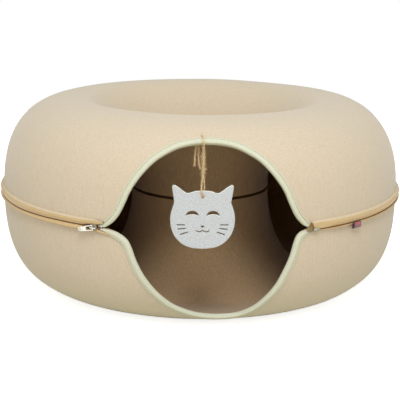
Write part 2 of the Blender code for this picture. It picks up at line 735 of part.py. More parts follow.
def pull_tab(hinge):
    """A plate that narrows to a round end, with a window and a small hole; the
    bar at the window's end turns under the crown."""
    bar, half, edge, end = PULL_BAR / 2, PULL_WIDTH / 2, PULL_EDGE_ROUND, PULL_END_WIDTH / 2
    left, right, top = -bar - PULL_WINDOW_LENGTH, -bar, PULL_WINDOW_WIDTH / 2
    outside = [(bar, half - edge), (bar - edge, half), (left, half)]
    outside += arc((end - PULL_LENGTH, 0), end, end, math.pi / 2, 3 * math.pi / 2, 6)
    outside += [(left, -half), (bar - edge, -half), (bar, edge - half)]
    window = [(left, -top), (right, -top), (right, top), (left, top)]
    hole_place = (PULL_HOLE_FROM_END - PULL_LENGTH, 0)
    hole = arc(hole_place, PULL_HOLE_RADIUS, PULL_HOLE_RADIUS, 0, math.tau, 10)[:-1]
    pull = flat_plate("pull_tab", [outside, window, hole], PULL_THICKNESS, SILVER, hinge)
    pull.rotation_euler.x = math.pi / 2


# Touch strips round the centre hole
def touch_strips(lower, upper):
    low, high = STRIP_REST, STRIP_REST + STRIP_HEIGHT
    hook_outer = HOLE_RADIUS - CLEARANCE
    loop_outer = LIP_OUTER + CLEARANCE + STRIP_THICKNESS
    turned_sheet("inner_hook_strip", [(hook_outer, high), (hook_outer, low)], STRIP_THICKNESS,
                 HOOKS, upper)
    turned_sheet("inner_loop_strip", [(loop_outer, high), (loop_outer, low)], STRIP_THICKNESS,
                 HOOKS, lower)


# Label
def side_label(parent):
    """A strip folded in two, fold down, hung in front of the tape's margin."""
    t, depth = LABEL_FOLD, LABEL_DROP
    across = 2 * t + LABEL_GAP
    outline = [(0, 0), (0, -depth), (across, -depth), (across, 0), (across - t, 0),
               (across - t, t - depth), (t, t - depth), (t, 0)]
    holder = add_empty("label_place", rotation=(0, 0, LABEL_ANGLE), parent=parent)
    label = flat_plate("side_label", [outline], LABEL_WIDTH, LABEL, holder)
    label.location = (0, -TAPE_OUTER - CLEARANCE, -LABEL_TOP)
    label.rotation_euler = (math.pi / 2, 0, -math.pi / 2)


# Twine
def hitch(place):
    cord("twine_hitch_outer", smooth_through(OUTER_STRAND, 2), TWINE_DIAMETER, JUTE, place)
    cord("twine_hitch_inner", smooth_through(INNER_STRAND, 2), TWINE_DIAMETER, JUTE, place)
    cord("twine_tail_long", smooth_through(LONG_TAIL, 2), TWINE_DIAMETER, JUTE, place)
    cord("twine_tail_short", smooth_through(SHORT_TAIL, 2), TWINE_DIAMETER, JUTE, place)
    mesh = bpy.data.meshes.new("twine_knot")
    bm = bmesh.new()
    bmesh.ops.create_uvsphere(bm, u_segments=12, v_segments=8, radius=KNOT_RADIUS)
    bm.to_mesh(mesh)
    bm.free()
    knot = add_object("twine_knot", mesh, JUTE, place)
    knot.location = KNOT_PLACE


def drop(name, length, hinge):
    """A doubled twine with a round top, centred on the hinge that it hangs by."""
    radius = DROP_DIAMETER / 2
    steps = 4
    profile = [(radius * math.sin(i * math.pi / 2 / steps), radius * math.cos(i * math.pi / 2 / steps))
               for i in range(steps + 1)]
    profile += [(radius, -length), (0, -length)]
    obj = add_object(name, polyline_mesh(name, [(r, 0, z) for r, z in profile]), JUTE, hinge)
    add_screw(obj, math.tau, 12)
    return obj


def twine_loop(hinge):
    """The loop through the cat's hole: one strand comes down in front of the
    felt on the left, the other behind it on the right."""
    top = -TWINE_DIAMETER / 2
    hole = TOY_HOLE_RADIUS - TOY_HOLE_BELOW_TWIST - TWINE_DIAMETER / 2 - CLEARANCE
    side = TOY_THICKNESS / 2 + CLEARANCE + TWINE_DIAMETER / 2
    spread = 1.1 * TWINE_DIAMETER
    fall = hole - top
    front = [(-0.45 * spread, -0.75 * side, 0.10), (-spread, -0.9 * side, 0.45),
             (-1.05 * spread, -1.1 * side, 0.75), (-0.35 * spread, -1.1 * side, 0.95)]
    back = [(0.35 * spread, 1.1 * side, 0.95), (1.05 * spread, 1.1 * side, 0.75),
            (spread, 0.9 * side, 0.45), (0.45 * spread, 0.75 * side, 0.10)]
    points = [(0, 0, top)]
    points += [(x, y, top + share * fall) for x, y, share in front]
    points += [(0, 0, hole)]
    points += [(x, y, top + share * fall) for x, y, share in back]
    cord("twine_loop", smooth_through(points, 3, closed=True), TWINE_DIAMETER, JUTE, hinge,
         closed=True)


# Cat toy
def mirrored(outline):
    return [(-x, y) for x, y in outline[::-1]]


def slit(start, tilt, length, width):
    """A straight cut-out that starts at a point and falls away outwards."""
    along = Vector((math.cos(tilt), -math.sin(tilt)))
    across = Vector((-along.y, along.x)) * width / 2
    start = Vector(start)
    end = start + along * length
    return [tuple(start + across), tuple(start - across), tuple(end - across), tuple(end + across)]


def cat_outline():
    half = []
    for x, z in TOY_OUTLINE_SHARES:
        half.append((x * TOY_HALF_WIDTH, z * (TOY_ABOVE_HOLE if z > 0 else TOY_BELOW_HOLE), 0))
    smooth = [(point.x, point.y) for point in smooth_through(half, 2)]
    return smooth + mirrored(smooth)[1:-1]


def cat_toy(hinge):
    """A flat head with its face cut right through."""
    hole = arc((0, 0), TOY_HOLE_RADIUS, TOY_HOLE_RADIUS, 0, math.tau, 10)[:-1]
    eye_place = (EYE_OUT, -EYE_DOWN)
    eye = arc(eye_place, EYE_HALF_WIDTH, EYE_RISE, 0, math.pi, 8)
    inner_half_width = EYE_HALF_WIDTH * 0.93
    eye += arc(eye_place, inner_half_width, EYE_RISE - EYE_THICKNESS, math.pi, 0, 6)
    nose = arc((0, -NOSE_DOWN), NOSE_HALF_WIDTH, NOSE_HALF_HEIGHT, 0, math.tau, 6)[:-1]
    middle = [(x * MOUTH_HALF_WIDTH, -MOUTH_DOWN + z * MOUTH_SAG) for x, z in MOUTH_SHARES]
    top = [(x, z + SLIT_WIDTH / 2) for x, z in middle]
    bottom = [(x, z - SLIT_WIDTH / 2) for x, z in middle]
    mouth = mirrored(top)[:-1] + top + bottom[::-1] + mirrored(bottom[::-1])[1:]
    outlines = [cat_outline(), hole, eye, mirrored(eye), nose, mouth]
    for row, (tilt, inset) in enumerate(zip(WHISKER_TILTS, WHISKER_INSET_SHARES)):
        start_x = WHISKER_OUT - WHISKER_LENGTH / 2 + inset * WHISKER_LENGTH
        start = (start_x, -WHISKER_DOWN + (1 - row) * WHISKER_PITCH)
        whisker = slit(start, math.radians(tilt), WHISKER_LENGTH, SLIT_WIDTH)
        outlines += [whisker, mirrored(whisker)]
    toy = flat_plate("cat_toy", outlines, TOY_THICKNESS, TOY_FELT, hinge)
    toy.location.z = -TOY_HOLE_BELOW_TWIST
    toy.rotation_euler.x = math.pi / 2


def axis_y():
    """Where the middle of the ring lies for the footprint's middle to be at the
    origin: the entrance takes away the front of the ring."""
    front_reach = max(-felt_point(x, height).y for x, height in upper_edge() + lower_edge())
    return (front_reach - TAPE_OUTER) / 2


def build():
    lower = add_empty("donut_axis", (0, axis_y(), ZIP_HEIGHT))
    upper = add_empty("upper_lift_axis", parent=lower)
    slider_hinge = add_empty("slider_travel_axis", rotation=(0, 0, SLIDER_ANGLE), parent=lower)
    pull_hinge = add_empty("pull_swing_axis", (0, -PULL_AXIS_RADIUS, 0), (0, -PULL_DROOP, 0),
                           slider_hinge)
    twine_place = add_empty("twine_place", felt_point(HANG_X, ENTRANCE_RISE), parent=upper)
    swing = add_empty("toy_swing_axis", (0, -HANG_OUT, -SWING_BELOW_EDGE), parent=twine_place)
    sway = add_empty("toy_sway_axis", (0, 0, -SWAY_BELOW_SWING), parent=swing)
    twist = add_empty("toy_twist_axis", (0, 0, -TWIST_BELOW_SWAY), parent=sway)

    felt_shells(lower, upper)
    binding("upper_entry_binding", upper_edge(), upper)
    binding("lower_entry_binding", lower_edge()[::-1], lower)
    zip_tapes(lower, upper)
    zip_coils(lower, upper)
    zip_ends(lower, upper)
    touch_strips(lower, upper)
    side_label(lower)

    slider(slider_hinge)
    slider_crown(slider_hinge)
    pull_tab(pull_hinge)

    hitch(twine_place)
    top_gap = DROP_DIAMETER / 2 + CLEARANCE
    drop("twine_drop_upper", SWAY_BELOW_SWING - top_gap, swing)
    drop("twine_drop_lower", TWIST_BELOW_SWAY - CLEARANCE, sway)
    twine_loop(twist)
    cat_toy(twist)

    for obj in model.objects:
        shade_round(obj)


build()
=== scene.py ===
# %% [markdown]
# # A donut cat tunnel
# The real thing is a ring of thick felt, big enough for a cat to walk round in.
# It is made in two turned halves that zip together, with a bound entrance at
# the front and a flat felt cat head hanging in it on jute twine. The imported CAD
# model gives the shapes and the bodies that move. This script puts finished
# pieces round that frame: woven tapes, stitches, twisted twine and fibres.

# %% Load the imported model
import math
import random

import bmesh
import bpy
from mathutils import Matrix, Quaternion, Vector, noise


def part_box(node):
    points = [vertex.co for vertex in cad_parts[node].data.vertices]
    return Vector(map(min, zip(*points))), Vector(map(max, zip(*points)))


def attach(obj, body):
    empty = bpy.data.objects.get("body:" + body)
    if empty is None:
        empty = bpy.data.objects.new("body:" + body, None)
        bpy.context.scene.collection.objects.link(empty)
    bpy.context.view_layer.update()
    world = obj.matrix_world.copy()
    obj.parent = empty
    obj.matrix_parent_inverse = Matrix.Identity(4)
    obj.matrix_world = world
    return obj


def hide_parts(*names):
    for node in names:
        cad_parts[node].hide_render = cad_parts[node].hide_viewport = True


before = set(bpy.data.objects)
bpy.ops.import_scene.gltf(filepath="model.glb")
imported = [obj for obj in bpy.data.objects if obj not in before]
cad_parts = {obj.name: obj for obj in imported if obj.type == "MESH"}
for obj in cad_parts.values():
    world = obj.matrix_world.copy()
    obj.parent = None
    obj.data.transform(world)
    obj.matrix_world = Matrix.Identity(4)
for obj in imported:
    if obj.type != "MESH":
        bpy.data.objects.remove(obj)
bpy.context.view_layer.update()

# %% [markdown]
# ## Where the ring is
# Everything is set out from the axis of the ring, in the plane of the zip. The
# sizes are the CAD's own, in metres. The place of the ring is read back from
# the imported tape, so that the looks stay on the frame if it moves.

# %% Sizes of the ring
FELT_RADIUS = 0.2955
FELT_THICKNESS = 0.004
HOLE_RADIUS = 0.0993
UPPER_HEIGHT = 0.134
CREST_RADIUS = 0.180
LOWER_DEPTH = 0.1413
BELLY_RADIUS = 0.185
SEAM_BAND_HEIGHT = 0.012
TUCK_DEPTH = 0.0062
TUCK_RISE = 0.0040
LIP_HOLE_RADIUS = 0.0926
SEAM_HALF_GAP = 0.0003
UPPER_OUTER_EXPONENT = 2.54
UPPER_HOLE_EXPONENT = 1.68
LOWER_OUTER_EXPONENT = 2.75
LOWER_HOLE_EXPONENT = 1.97
TAPE_OUTER = 0.2994
TAPE_EDGE = 0.0006

tape_low, tape_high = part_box("upper_zip_tape")
RING = Vector((0, tape_high.y - TAPE_OUTER, tape_low.z - TAPE_EDGE))
print("ring axis at y", round(RING.y, 5), "and zip at", round(RING.z, 5))

# %% [markdown]
# ## The section of the felt
# Each half is a flat sheet of needled felt that is drawn over a form while it
# is hot. Its section is four quarters of squared ellipses. A point of such a
# quarter is found from a turn between 0, at the edge, and a right angle, at the
# crest.


# %% Section of the felt
def even_turns(first, last, steps):
    return [first + (last - first) * i / steps for i in range(steps + 1)]


def turn_at(height, full_height, exponent):
    return math.asin((abs(height) / full_height) ** (exponent / 2))


def quarter(crest, edge, height, exponent, turns):
    power = 2 / exponent
    return [(crest + (edge - crest) * math.cos(turn) ** power, height * math.sin(turn) ** power)
            for turn in turns]


def upper_section(steps):
    rise = UPPER_HEIGHT - SEAM_BAND_HEIGHT
    start = turn_at(SEAM_BAND_HEIGHT / 2, rise, UPPER_HOLE_EXPONENT)
    end = turn_at(SEAM_HALF_GAP, UPPER_HEIGHT, UPPER_OUTER_EXPONENT)
    hole_side = quarter(CREST_RADIUS, HOLE_RADIUS, rise, UPPER_HOLE_EXPONENT,
                        even_turns(start, math.pi / 2, steps))
    outer_side = quarter(CREST_RADIUS, FELT_RADIUS, UPPER_HEIGHT, UPPER_OUTER_EXPONENT,
                         even_turns(math.pi / 2, end, steps)[1:])
    band = [(HOLE_RADIUS, SEAM_HALF_GAP), (HOLE_RADIUS, SEAM_BAND_HEIGHT)]
    return band + [(r, height + SEAM_BAND_HEIGHT) for r, height in hole_side] + outer_side


def lower_section(steps):
    """The felt stops flat on the floor, so both quarters are cut at its height."""
    start = turn_at(SEAM_HALF_GAP, LOWER_DEPTH, LOWER_OUTER_EXPONENT)
    outer_flat = turn_at(RING.z, LOWER_DEPTH, LOWER_OUTER_EXPONENT)
    inner_flat = turn_at(RING.z, LOWER_DEPTH, LOWER_HOLE_EXPONENT)
    end = turn_at(TUCK_DEPTH, LOWER_DEPTH, LOWER_HOLE_EXPONENT)
    outer_side = quarter(BELLY_RADIUS, FELT_RADIUS, -LOWER_DEPTH, LOWER_OUTER_EXPONENT,
                         even_turns(start, outer_flat, steps))
    hole_side = quarter(BELLY_RADIUS, HOLE_RADIUS, -LOWER_DEPTH, LOWER_HOLE_EXPONENT,
                        even_turns(inner_flat, end, steps))
    tuck = [(LIP_HOLE_RADIUS, TUCK_RISE - TUCK_DEPTH), (LIP_HOLE_RADIUS, SEAM_BAND_HEIGHT)]
    return outer_side + hole_side + tuck


def felt_radius(height):
    if height >= 0:
        crest, full, exponent = CREST_RADIUS, UPPER_HEIGHT, UPPER_OUTER_EXPONENT
    else:
        crest, full, exponent = BELLY_RADIUS, LOWER_DEPTH, LOWER_OUTER_EXPONENT
    share = (1 - (abs(height) / full) ** exponent) ** (1 / exponent)
    return crest + (FELT_RADIUS - crest) * share


def felt_point(x, height):
    """A point of the felt's outside at the front, from the ring's middle."""
    return Vector((x, -math.sqrt(felt_radius(height) ** 2 - x ** 2), height))


def felt_normal(x, height):
    step = FELT_THICKNESS / 8
    across = felt_point(x + step, height) - felt_point(x - step, height)
    upward = felt_point(x, height + step) - felt_point(x, height - step)
    return across.cross(upward).normalized()


def ring_point(angle, radius, height):
    """A point at an angle from the entrance towards the right."""
    return RING + Vector((radius * math.sin(angle), -radius * math.cos(angle), height))


def from_axis(point):
    """The way from the ring's axis to a point, level."""
    return (point - RING) * Vector((1, 1, 0))


print("felt points:", len(upper_section(40)), "and", len(lower_section(40)))

# %% [markdown]
# ## The outline of the entrance
# The entrance is an eye: an arch in the upper half and a deeper scoop in the
# lower one that leans a little to the right. The corners are shares of its
# size. A Catmull-Rom curve, which passes through every one of them, joins them.

# %% Outline of the entrance
ENTRANCE_HALF_WIDTH = 0.1325
ENTRANCE_RISE = 0.1126
ENTRANCE_DROP = 0.127
UPPER_EDGE_SHARES = [
    (1.0, 0.0), (0.925, 0.094), (0.870, 0.184), (0.815, 0.321), (0.767, 0.450),
    (0.705, 0.568), (0.620, 0.693), (0.522, 0.804), (0.410, 0.888), (0.288, 0.953),
    (0.144, 0.990), (0.0, 1.0),
]
LOWER_EDGE_SHARES = [
    (-1.0, 0.0), (-0.903, -0.035), (-0.833, -0.078), (-0.786, -0.123), (-0.746, -0.209),
    (-0.711, -0.315), (-0.655, -0.441), (-0.598, -0.537), (-0.528, -0.636),
    (-0.443, -0.733), (-0.342, -0.826), (-0.225, -0.897), (-0.109, -0.952),
    (0.038, -0.991), (0.190, -1.0), (0.316, -0.977), (0.436, -0.912), (0.537, -0.821),
    (0.634, -0.702), (0.712, -0.580), (0.785, -0.418), (0.834, -0.294), (0.866, -0.172),
    (0.895, -0.084), (0.940, -0.032), (1.0, 0.0),
]


def smooth_through(points, spans, closed=False):
    """Points on a Catmull-Rom curve through the given ones."""
    count = len(points)
    path = []
    for i in range(count if closed else count - 1):
        near = [i + k for k in (-1, 0, 1, 2)]
        near = [k % count if closed else min(max(k, 0), count - 1) for k in near]
        a, b, c, d = [Vector(points[k]) for k in near]
        for step in range(spans):
            t = step / spans
            path.append(0.5 * (2 * b + (c - a) * t + (2 * a - 5 * b + 4 * c - d) * t ** 2
                               + (3 * b - a - 3 * c + d) * t ** 3))
    return path if closed else path + [Vector(points[-1])]


def path_length(path):
    return sum((b - a).length for a, b in zip(path, path[1:]))


def evenly(path, spacing):
    """The same path with points at an even spacing."""
    reach = [0.0]
    for a, b in zip(path, path[1:]):
        reach.append(reach[-1] + (b - a).length)
    count = max(1, round(reach[-1] / spacing))
    points, k = [], 0
    for i in range(count + 1):
        target = reach[-1] * i / count
        while k < len(reach) - 2 and reach[k + 1] < target:
            k += 1
        span = reach[k + 1] - reach[k]
        points.append(path[k].lerp(path[k + 1], (target - reach[k]) / span if span else 0))
    return points


right_arch = [(x * ENTRANCE_HALF_WIDTH, z * ENTRANCE_RISE, 0) for x, z in UPPER_EDGE_SHARES]
left_arch = [(-x, z, 0) for x, z, _ in right_arch[:-1]]
UPPER_EDGE = smooth_through(left_arch + right_arch[::-1], 4)
LOWER_EDGE = smooth_through(
    [(x * ENTRANCE_HALF_WIDTH, z * ENTRANCE_DROP, 0) for x, z in LOWER_EDGE_SHARES], 3)
print("entrance points:", len(UPPER_EDGE) + len(LOWER_EDGE))

# %% [markdown]
# ## Helpers that make pieces
# Most pieces here are lofts: a row of points goes along a path and the rows are
# joined by faces. The loft also writes a map in metres, along the path and
# round the row, so that a weave can follow a tape wherever it goes.


# %% Lofts and pieces
def add_object(name, data):
    made = bpy.data.objects.new(name, data)
    bpy.context.scene.collection.objects.link(made)
    return made


def mesh_of(name, bm):
    mesh = bpy.data.meshes.new(name)
    bm.to_mesh(mesh)
    bm.free()
    return mesh


def finished_mesh(name, bm, sharp=40.0):
    """A mesh shaded smooth but for edges sharper than an angle in degrees."""
    bmesh.ops.recalc_face_normals(bm, faces=bm.faces)
    mesh = mesh_of(name, bm)
    mesh.shade_smooth()
    mesh.set_sharp_from_angle(angle=math.radians(sharp))
    return mesh


def add_piece(name, mesh, finishes, body, stands_for=()):
    """A piece that rides on a body and replaces solids of the CAD."""
    piece = add_object(name, mesh)
    for finish in finishes:
        mesh.materials.append(finish)
    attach(piece, body)
    if stands_for:
        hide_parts(*stands_for)
    return piece


def add_loft(bm, rows, closed_path=False):
    """Adds a loft through closed rows of points to a bmesh."""
    lay = bm.loops.layers.uv.get("lay") or bm.loops.layers.uv.new("lay")
    verts = [[bm.verts.new(point) for point in row] for row in rows]
    along = [0.0]
    for a, b in zip(rows, rows[1:] + rows[:1]):
        along.append(along[-1] + (b[0] - a[0]).length)
    first = rows[len(rows) // 2]
    around = [0.0]
    for a, b in zip(first, first[1:] + first[:1]):
        around.append(around[-1] + (b - a).length)
    for i in range(len(rows) if closed_path else len(rows) - 1):
        following = verts[(i + 1) % len(rows)]
        for k in range(len(first)):
            m = (k + 1) % len(first)
            face = bm.faces.new((verts[i][k], following[k], following[m], verts[i][m]))
            places = ((i, k), (i + 1, k), (i + 1, k + 1), (i, k + 1))
            for loop, (row, place) in zip(face.loops, places):
                loop[lay].uv = (along[row], around[place])
    if not closed_path:
        bm.faces.new(verts[0][::-1])
        bm.faces.new(verts[-1])


def loft(name, rows, closed_path=False):
    bm = bmesh.new()
    add_loft(bm, rows, closed_path)
    return finished_mesh(name, bm)


def frozen(obj):
    """The mesh of an object with its modifiers applied, and the object gone."""
    bpy.context.view_layer.update()
    graph = bpy.context.evaluated_depsgraph_get()
    mesh = bpy.data.meshes.new_from_object(obj.evaluated_get(graph))
    bpy.data.objects.remove(obj, do_unlink=True)
    return mesh


def along_path(path, i):
    return (path[min(i + 1, len(path) - 1)] - path[max(i - 1, 0)]).normalized()


def across_path(path, i):
    """Two directions square to a path at one of its points."""
    along = along_path(path, i)
    side = Vector((0, 0, 1)) if abs(along.z) < 0.8 else Vector((1, 0, 0))
    first = along.cross(side).normalized()
    return first, along.cross(first).normalized()


def turned_from(pair, turn):
    """The direction at a turn between two square ones."""
    return pair[0] * math.cos(turn) + pair[1] * math.sin(turn)


def round_row(point, pair, radius, sides):
    """A circle of points round a point of a path."""
    return [point + turned_from(pair, math.tau * k / sides) * radius for k in range(sides)]


print("helpers ready")

# %% [markdown]
# ## Shared effects
# Felt, tape, twine and metal each have fine detail that several materials use.
# Each effect is one node group, built once and placed with its own values. The
# groups only give masks and heights. The Principled shader stays in the
# material.


# %% Node helpers
def add_node(tree, kind, inputs=None, **settings):
    """Adds a shader node. Each of its inputs is linked, or set to a value."""
    node = tree.nodes.new("ShaderNode" + kind)
    for name, value in settings.items():
        setattr(node, name, value)
    for key, value in (inputs or {}).items():
        if isinstance(value, bpy.types.NodeSocket):
            tree.links.new(value, node.inputs[key])
        else:
            node.inputs[key].default_value = value
    return node


def add_math(tree, operation, first, second=0.5):
    """Works on two sockets or numbers. Returns the node's output."""
    return add_node(tree, "Math", {0: first, 1: second}, operation=operation).outputs[0]


def times(tree, first, second):
    return add_math(tree, "MULTIPLY", first, second)


def plus(tree, first, second):
    return add_math(tree, "ADD", first, second)


def add_noise(tree, vector, scale, detail=2.0, roughness=0.5, stretch=(1, 1, 1), turn=(0, 0, 0)):
    mapping = add_node(tree, "Mapping", {"Vector": vector, "Scale": stretch, "Rotation": turn})
    return add_node(tree, "TexNoise", {"Vector": mapping.outputs[0], "Scale": scale,
                                       "Detail": detail, "Roughness": roughness}).outputs["Fac"]


def add_separate(tree, vector):
    return add_node(tree, "SeparateXYZ", {0: vector}).outputs


def new_group(name, inputs, outputs):
    """A group with a vector input, number inputs with their values and outputs."""
    group = bpy.data.node_groups.new(name, "ShaderNodeTree")
    group.interface.new_socket("Vector", in_out="INPUT", socket_type="NodeSocketVector")
    for socket, value in inputs.items():
        made = group.interface.new_socket(socket, in_out="INPUT", socket_type="NodeSocketFloat")
        made.default_value = value
    for socket in outputs:
        group.interface.new_socket(socket, in_out="OUTPUT", socket_type="NodeSocketFloat")
    return group, group.nodes.new("NodeGroupInput").outputs


def give_out(group, **values):
    ends = group.nodes.new("NodeGroupOutput")
    for name, value in values.items():
        group.links.new(value, ends.inputs[name])
    print("made", group.name)
    return group


# %% Felt fibres
def make_felt_fibres():
    """Fine fibres that mostly run up the walls, over a slow mottle."""
    group, ins = new_group("felt_fibres", {"Streak": 0.5},
                           ("Mottle", "Fibres", "Speckle", "Height"))
    vector, streak = ins["Vector"], ins["Streak"]
    mottle = add_noise(group, vector, 38, 3.0)
    streaks = add_noise(group, vector, 420, 2.0, 0.6, (1, 1, 0.10))
    tangle = add_noise(group, vector, 900, 2.0, 0.6, (1, 0.18, 1), (0.5, 0.3, 0.7))
    cross = add_noise(group, vector, 900, 2.0, 0.6, (0.18, 1, 1), (0.2, 0.9, 0.1))
    crossing = add_math(group, "MAXIMUM", tangle, cross)
    rest = add_math(group, "SUBTRACT", 1.0, streak)
    fibres = plus(group, times(group, streaks, streak), times(group, crossing, rest))
    return give_out(group, Mottle=mottle, Fibres=fibres,
                    Speckle=add_noise(group, vector, 520, 3.0, 0.7),
                    Height=plus(group, fibres, times(group, mottle, 0.3)))


FELT_FIBRES = make_felt_fibres()


# %% Woven threads
def make_woven():
    """Plain weave on a map in metres: threads along, crossed by threads across."""
    group, ins = new_group("woven_threads", {"Along": 1400.0, "Across": 900.0},
                           ("Threads", "Height"))
    place = add_separate(group, ins["Vector"])
    waves = []
    for axis, threads in ((place["X"], ins["Along"]), (place["Y"], ins["Across"])):
        turns = times(group, times(group, axis, threads), math.tau)
        waves.append(add_math(group, "SINE", turns))
    weave = times(group, times(group, *waves), 0.35)
    height = plus(group, weave, times(group, waves[0], 0.15))
    return give_out(group, Height=plus(group, height, 0.5),
                    Threads=add_noise(group, ins["Vector"], 300, 2.0, 0.5, (1, 6, 1)))


WOVEN = make_woven()


# %% Plied fibres
def make_plied():
    """Long fibres that wind round a strand, on the strand's own map."""
    group, ins = new_group("plied_fibres", {}, ("Fibres", "Height"))
    fine = add_noise(group, ins["Vector"], 2600, 3.0, 0.6, (0.12, 1, 1), (0, 0, 0.35))
    patches = add_noise(group, ins["Vector"], 260, 2.0)
    both = plus(group, times(group, fine, 0.7), times(group, patches, 0.3))
    return give_out(group, Fibres=both, Height=fine)


PLIED = make_plied()


# %% Handling marks
def make_handled():
    """Faint smears and fine scratches on plated metal."""
    group, ins = new_group("handled_metal", {}, ("Smears", "Height"))
    scratches = add_noise(group, ins["Vector"], 2500, 3.0, 0.6, (0.08, 1, 1), (0.3, 0.2, 0.5))
    return give_out(group, Smears=add_noise(group, ins["Vector"], 500, 4.0, 0.6), Height=scratches)


HANDLED = make_handled()

# %% [markdown]
# ## Finishes
# A finish starts from two close colours that a mask mixes, because no real
# cloth has one colour. Colours are written as a screen shows them, from 0 to
# 255. The height goes into a Bump node, so that light catches the threads.


# %% Finish builder
def linear(red, green, blue):
    """A screen colour as the linear numbers that shaders use."""
    shades = [value / 255 for value in (red, green, blue)]
    return (*[v / 12.92 if v <= 0.04045 else ((v + 0.055) / 1.055) ** 2.4 for v in shades], 1.0)


def start_finish(name, group, place, **values):
    """A material with one of the shared effects laid over it by a place: the
    object's own, or the map of a loft."""
    mat = bpy.data.materials.new(name)
    mat.use_nodes = True
    tree = mat.node_tree
    if place == "lay":
        vector = add_node(tree, "UVMap", uv_map="lay").outputs["UV"]
    else:
        vector = add_node(tree, "TexCoord").outputs["Object"]
    node = add_node(tree, "Group", node_tree=group)
    tree.links.new(vector, node.inputs["Vector"])
    for socket, value in values.items():
        node.inputs[socket].default_value = value
    return mat, tree, node.outputs


def finish_shader(tree, **values):
    """Sets or links inputs of the material's shader, named with underscores."""
    shader = tree.nodes["Principled BSDF"]
    for name, value in values.items():
        socket = shader.inputs[name.replace("_", " ")]
        if isinstance(value, bpy.types.NodeSocket):
            tree.links.new(value, socket)
        else:
            socket.default_value = value


def blend(tree, share, first, second):
    return add_node(tree, "Mix", {0: share, 6: first, 7: second}, data_type="RGBA").outputs[2]


def mix_colours(tree, factor, first, second, low=0.3, high=0.7):
    """Mixes two colours by a mask, with the mask's middle stretched out."""
    spread = add_node(tree, "MapRange", {"Value": factor, "From Min": low, "From Max": high})
    return blend(tree, spread.outputs[0], first, second)


def way_it_faces(tree):
    return add_separate(tree, add_node(tree, "NewGeometry").outputs["Normal"])


def shade_facing_down(tree, colour, shade_colour):
    """Painted shade: takes a colour towards a darker one where a surface looks down."""
    if shade_colour is None:
        return colour
    return mix_colours(tree, way_it_faces(tree)["Z"], linear(*shade_colour), colour, -1.0, -0.2)


def bumped(tree, height, distance):
    return add_node(tree, "Bump", {"Height": height, "Distance": distance,
                                   "Strength": 1.0}).outputs[0]


print("a screen's middle grey is", round(linear(128, 128, 128)[0], 3), "of white")


# %% Felt finishes
def felt_finish(name, dark, light, streak, bump, sheen, slow_mask="Mottle", fibre_share=0.6,
                shade_colour=None):
    mat, tree, fibres = start_finish(name, FELT_FIBRES, "object", Streak=streak)
    dark, light = linear(*dark), linear(*light)
    slow = mix_colours(tree, fibres[slow_mask], dark, light)
    fast = mix_colours(tree, fibres["Fibres"], dark, light, 0.35, 0.65)
    colour = shade_facing_down(tree, blend(tree, fibre_share, slow, fast), shade_colour)
    finish_shader(tree, Base_Color=colour, Roughness=0.95, Sheen_Weight=sheen,
                  Sheen_Roughness=0.5, Specular_IOR_Level=0.15,
                  Normal=bumped(tree, fibres["Height"], bump))
    return mat


# The warm felt's last colour is painted shade where it looks down, towards the floor.
WARM_FELT = felt_finish("warm_beige_felt", (204, 180, 148), (227, 204, 173),
                        0.35, 0.0004, 0.25, "Speckle", 0.45, (202, 188, 150))
# The inside of the felt is a darker, deeper copy of the outside one: painted shade of the tunnel.
SHADED_INNER_FELT = felt_finish("warm_felt_inside_painted_shade", (171, 138, 97), (203, 169, 127),
                         0.65, 0.0004, 0.6, "Speckle", 0.45)
GREY_FELT = felt_finish("light_grey_felt", (186, 183, 177), (226, 223, 218),
                        0.0, 0.0006, 0.1, "Speckle", 0.15)
CUT_FELT = felt_finish("cream_cut_edge", (226, 219, 200), (240, 235, 220), 0.25, 0.0005, 0.1)
SHADED_CUT = felt_finish("shaded_cut_edge", (36, 30, 20), (54, 46, 32), 0.25, 0.0005, 0.0)
# Painted shade for the narrow slot where the halves overlap round the centre hole.
SEAM_SHADE_FELT = felt_finish("felt_in_painted_seam_shade", (84, 62, 38), (104, 80, 52),
                          0.65, 0.0004, 0.0)
print("felt finishes:", WARM_FELT.name, SHADED_INNER_FELT.name, GREY_FELT.name, CUT_FELT.name)


# %% Tape, thread and label finishes
def woven_finish(name, dark, light, roughness, weave, specular=0.3, shade_colour=None):
    """A weave is threads along and across in a metre, and their height."""
    along, across, bump = weave
    mat, tree, woven = start_finish(name, WOVEN, "lay", Along=along, Across=across)
    slow = mix_colours(tree, woven["Threads"], linear(*dark), linear(*light))
    # Darker where the weave is low: painted shade between the threads.
    shade_between_threads = mix_colours(tree, woven["Height"], linear(*dark), slow, 0.1, 0.6)
    finish_shader(tree, Base_Color=shade_facing_down(tree, shade_between_threads, shade_colour), Roughness=roughness,
                  Specular_IOR_Level=specular, Normal=bumped(tree, woven["Height"], bump))
    return mat


BINDING_WEAVE = (1100.0, 700.0, 0.0002)
TAPE_WEAVE = (1300.0, 900.0, 0.00008)
FILM_WEAVE = (1300.0, 900.0, 0.00006)
LABEL_WEAVE = (2600.0, 2600.0, 0.00006)
PILE_WEAVE = (800.0, 800.0, 0.0004)
THREAD_WEAVE = (3000.0, 1500.0, 0.0001)
# The binding's last colour is painted shade where it looks down.
BINDING_TAPE = woven_finish("pale_green_binding", (214, 207, 176), (231, 224, 195),
                            0.8, BINDING_WEAVE, shade_colour=(184, 172, 124))
ZIP_TAPE = woven_finish("ochre_zip_tape", (202, 165, 111), (224, 190, 136), 0.5, TAPE_WEAVE, 0.5)
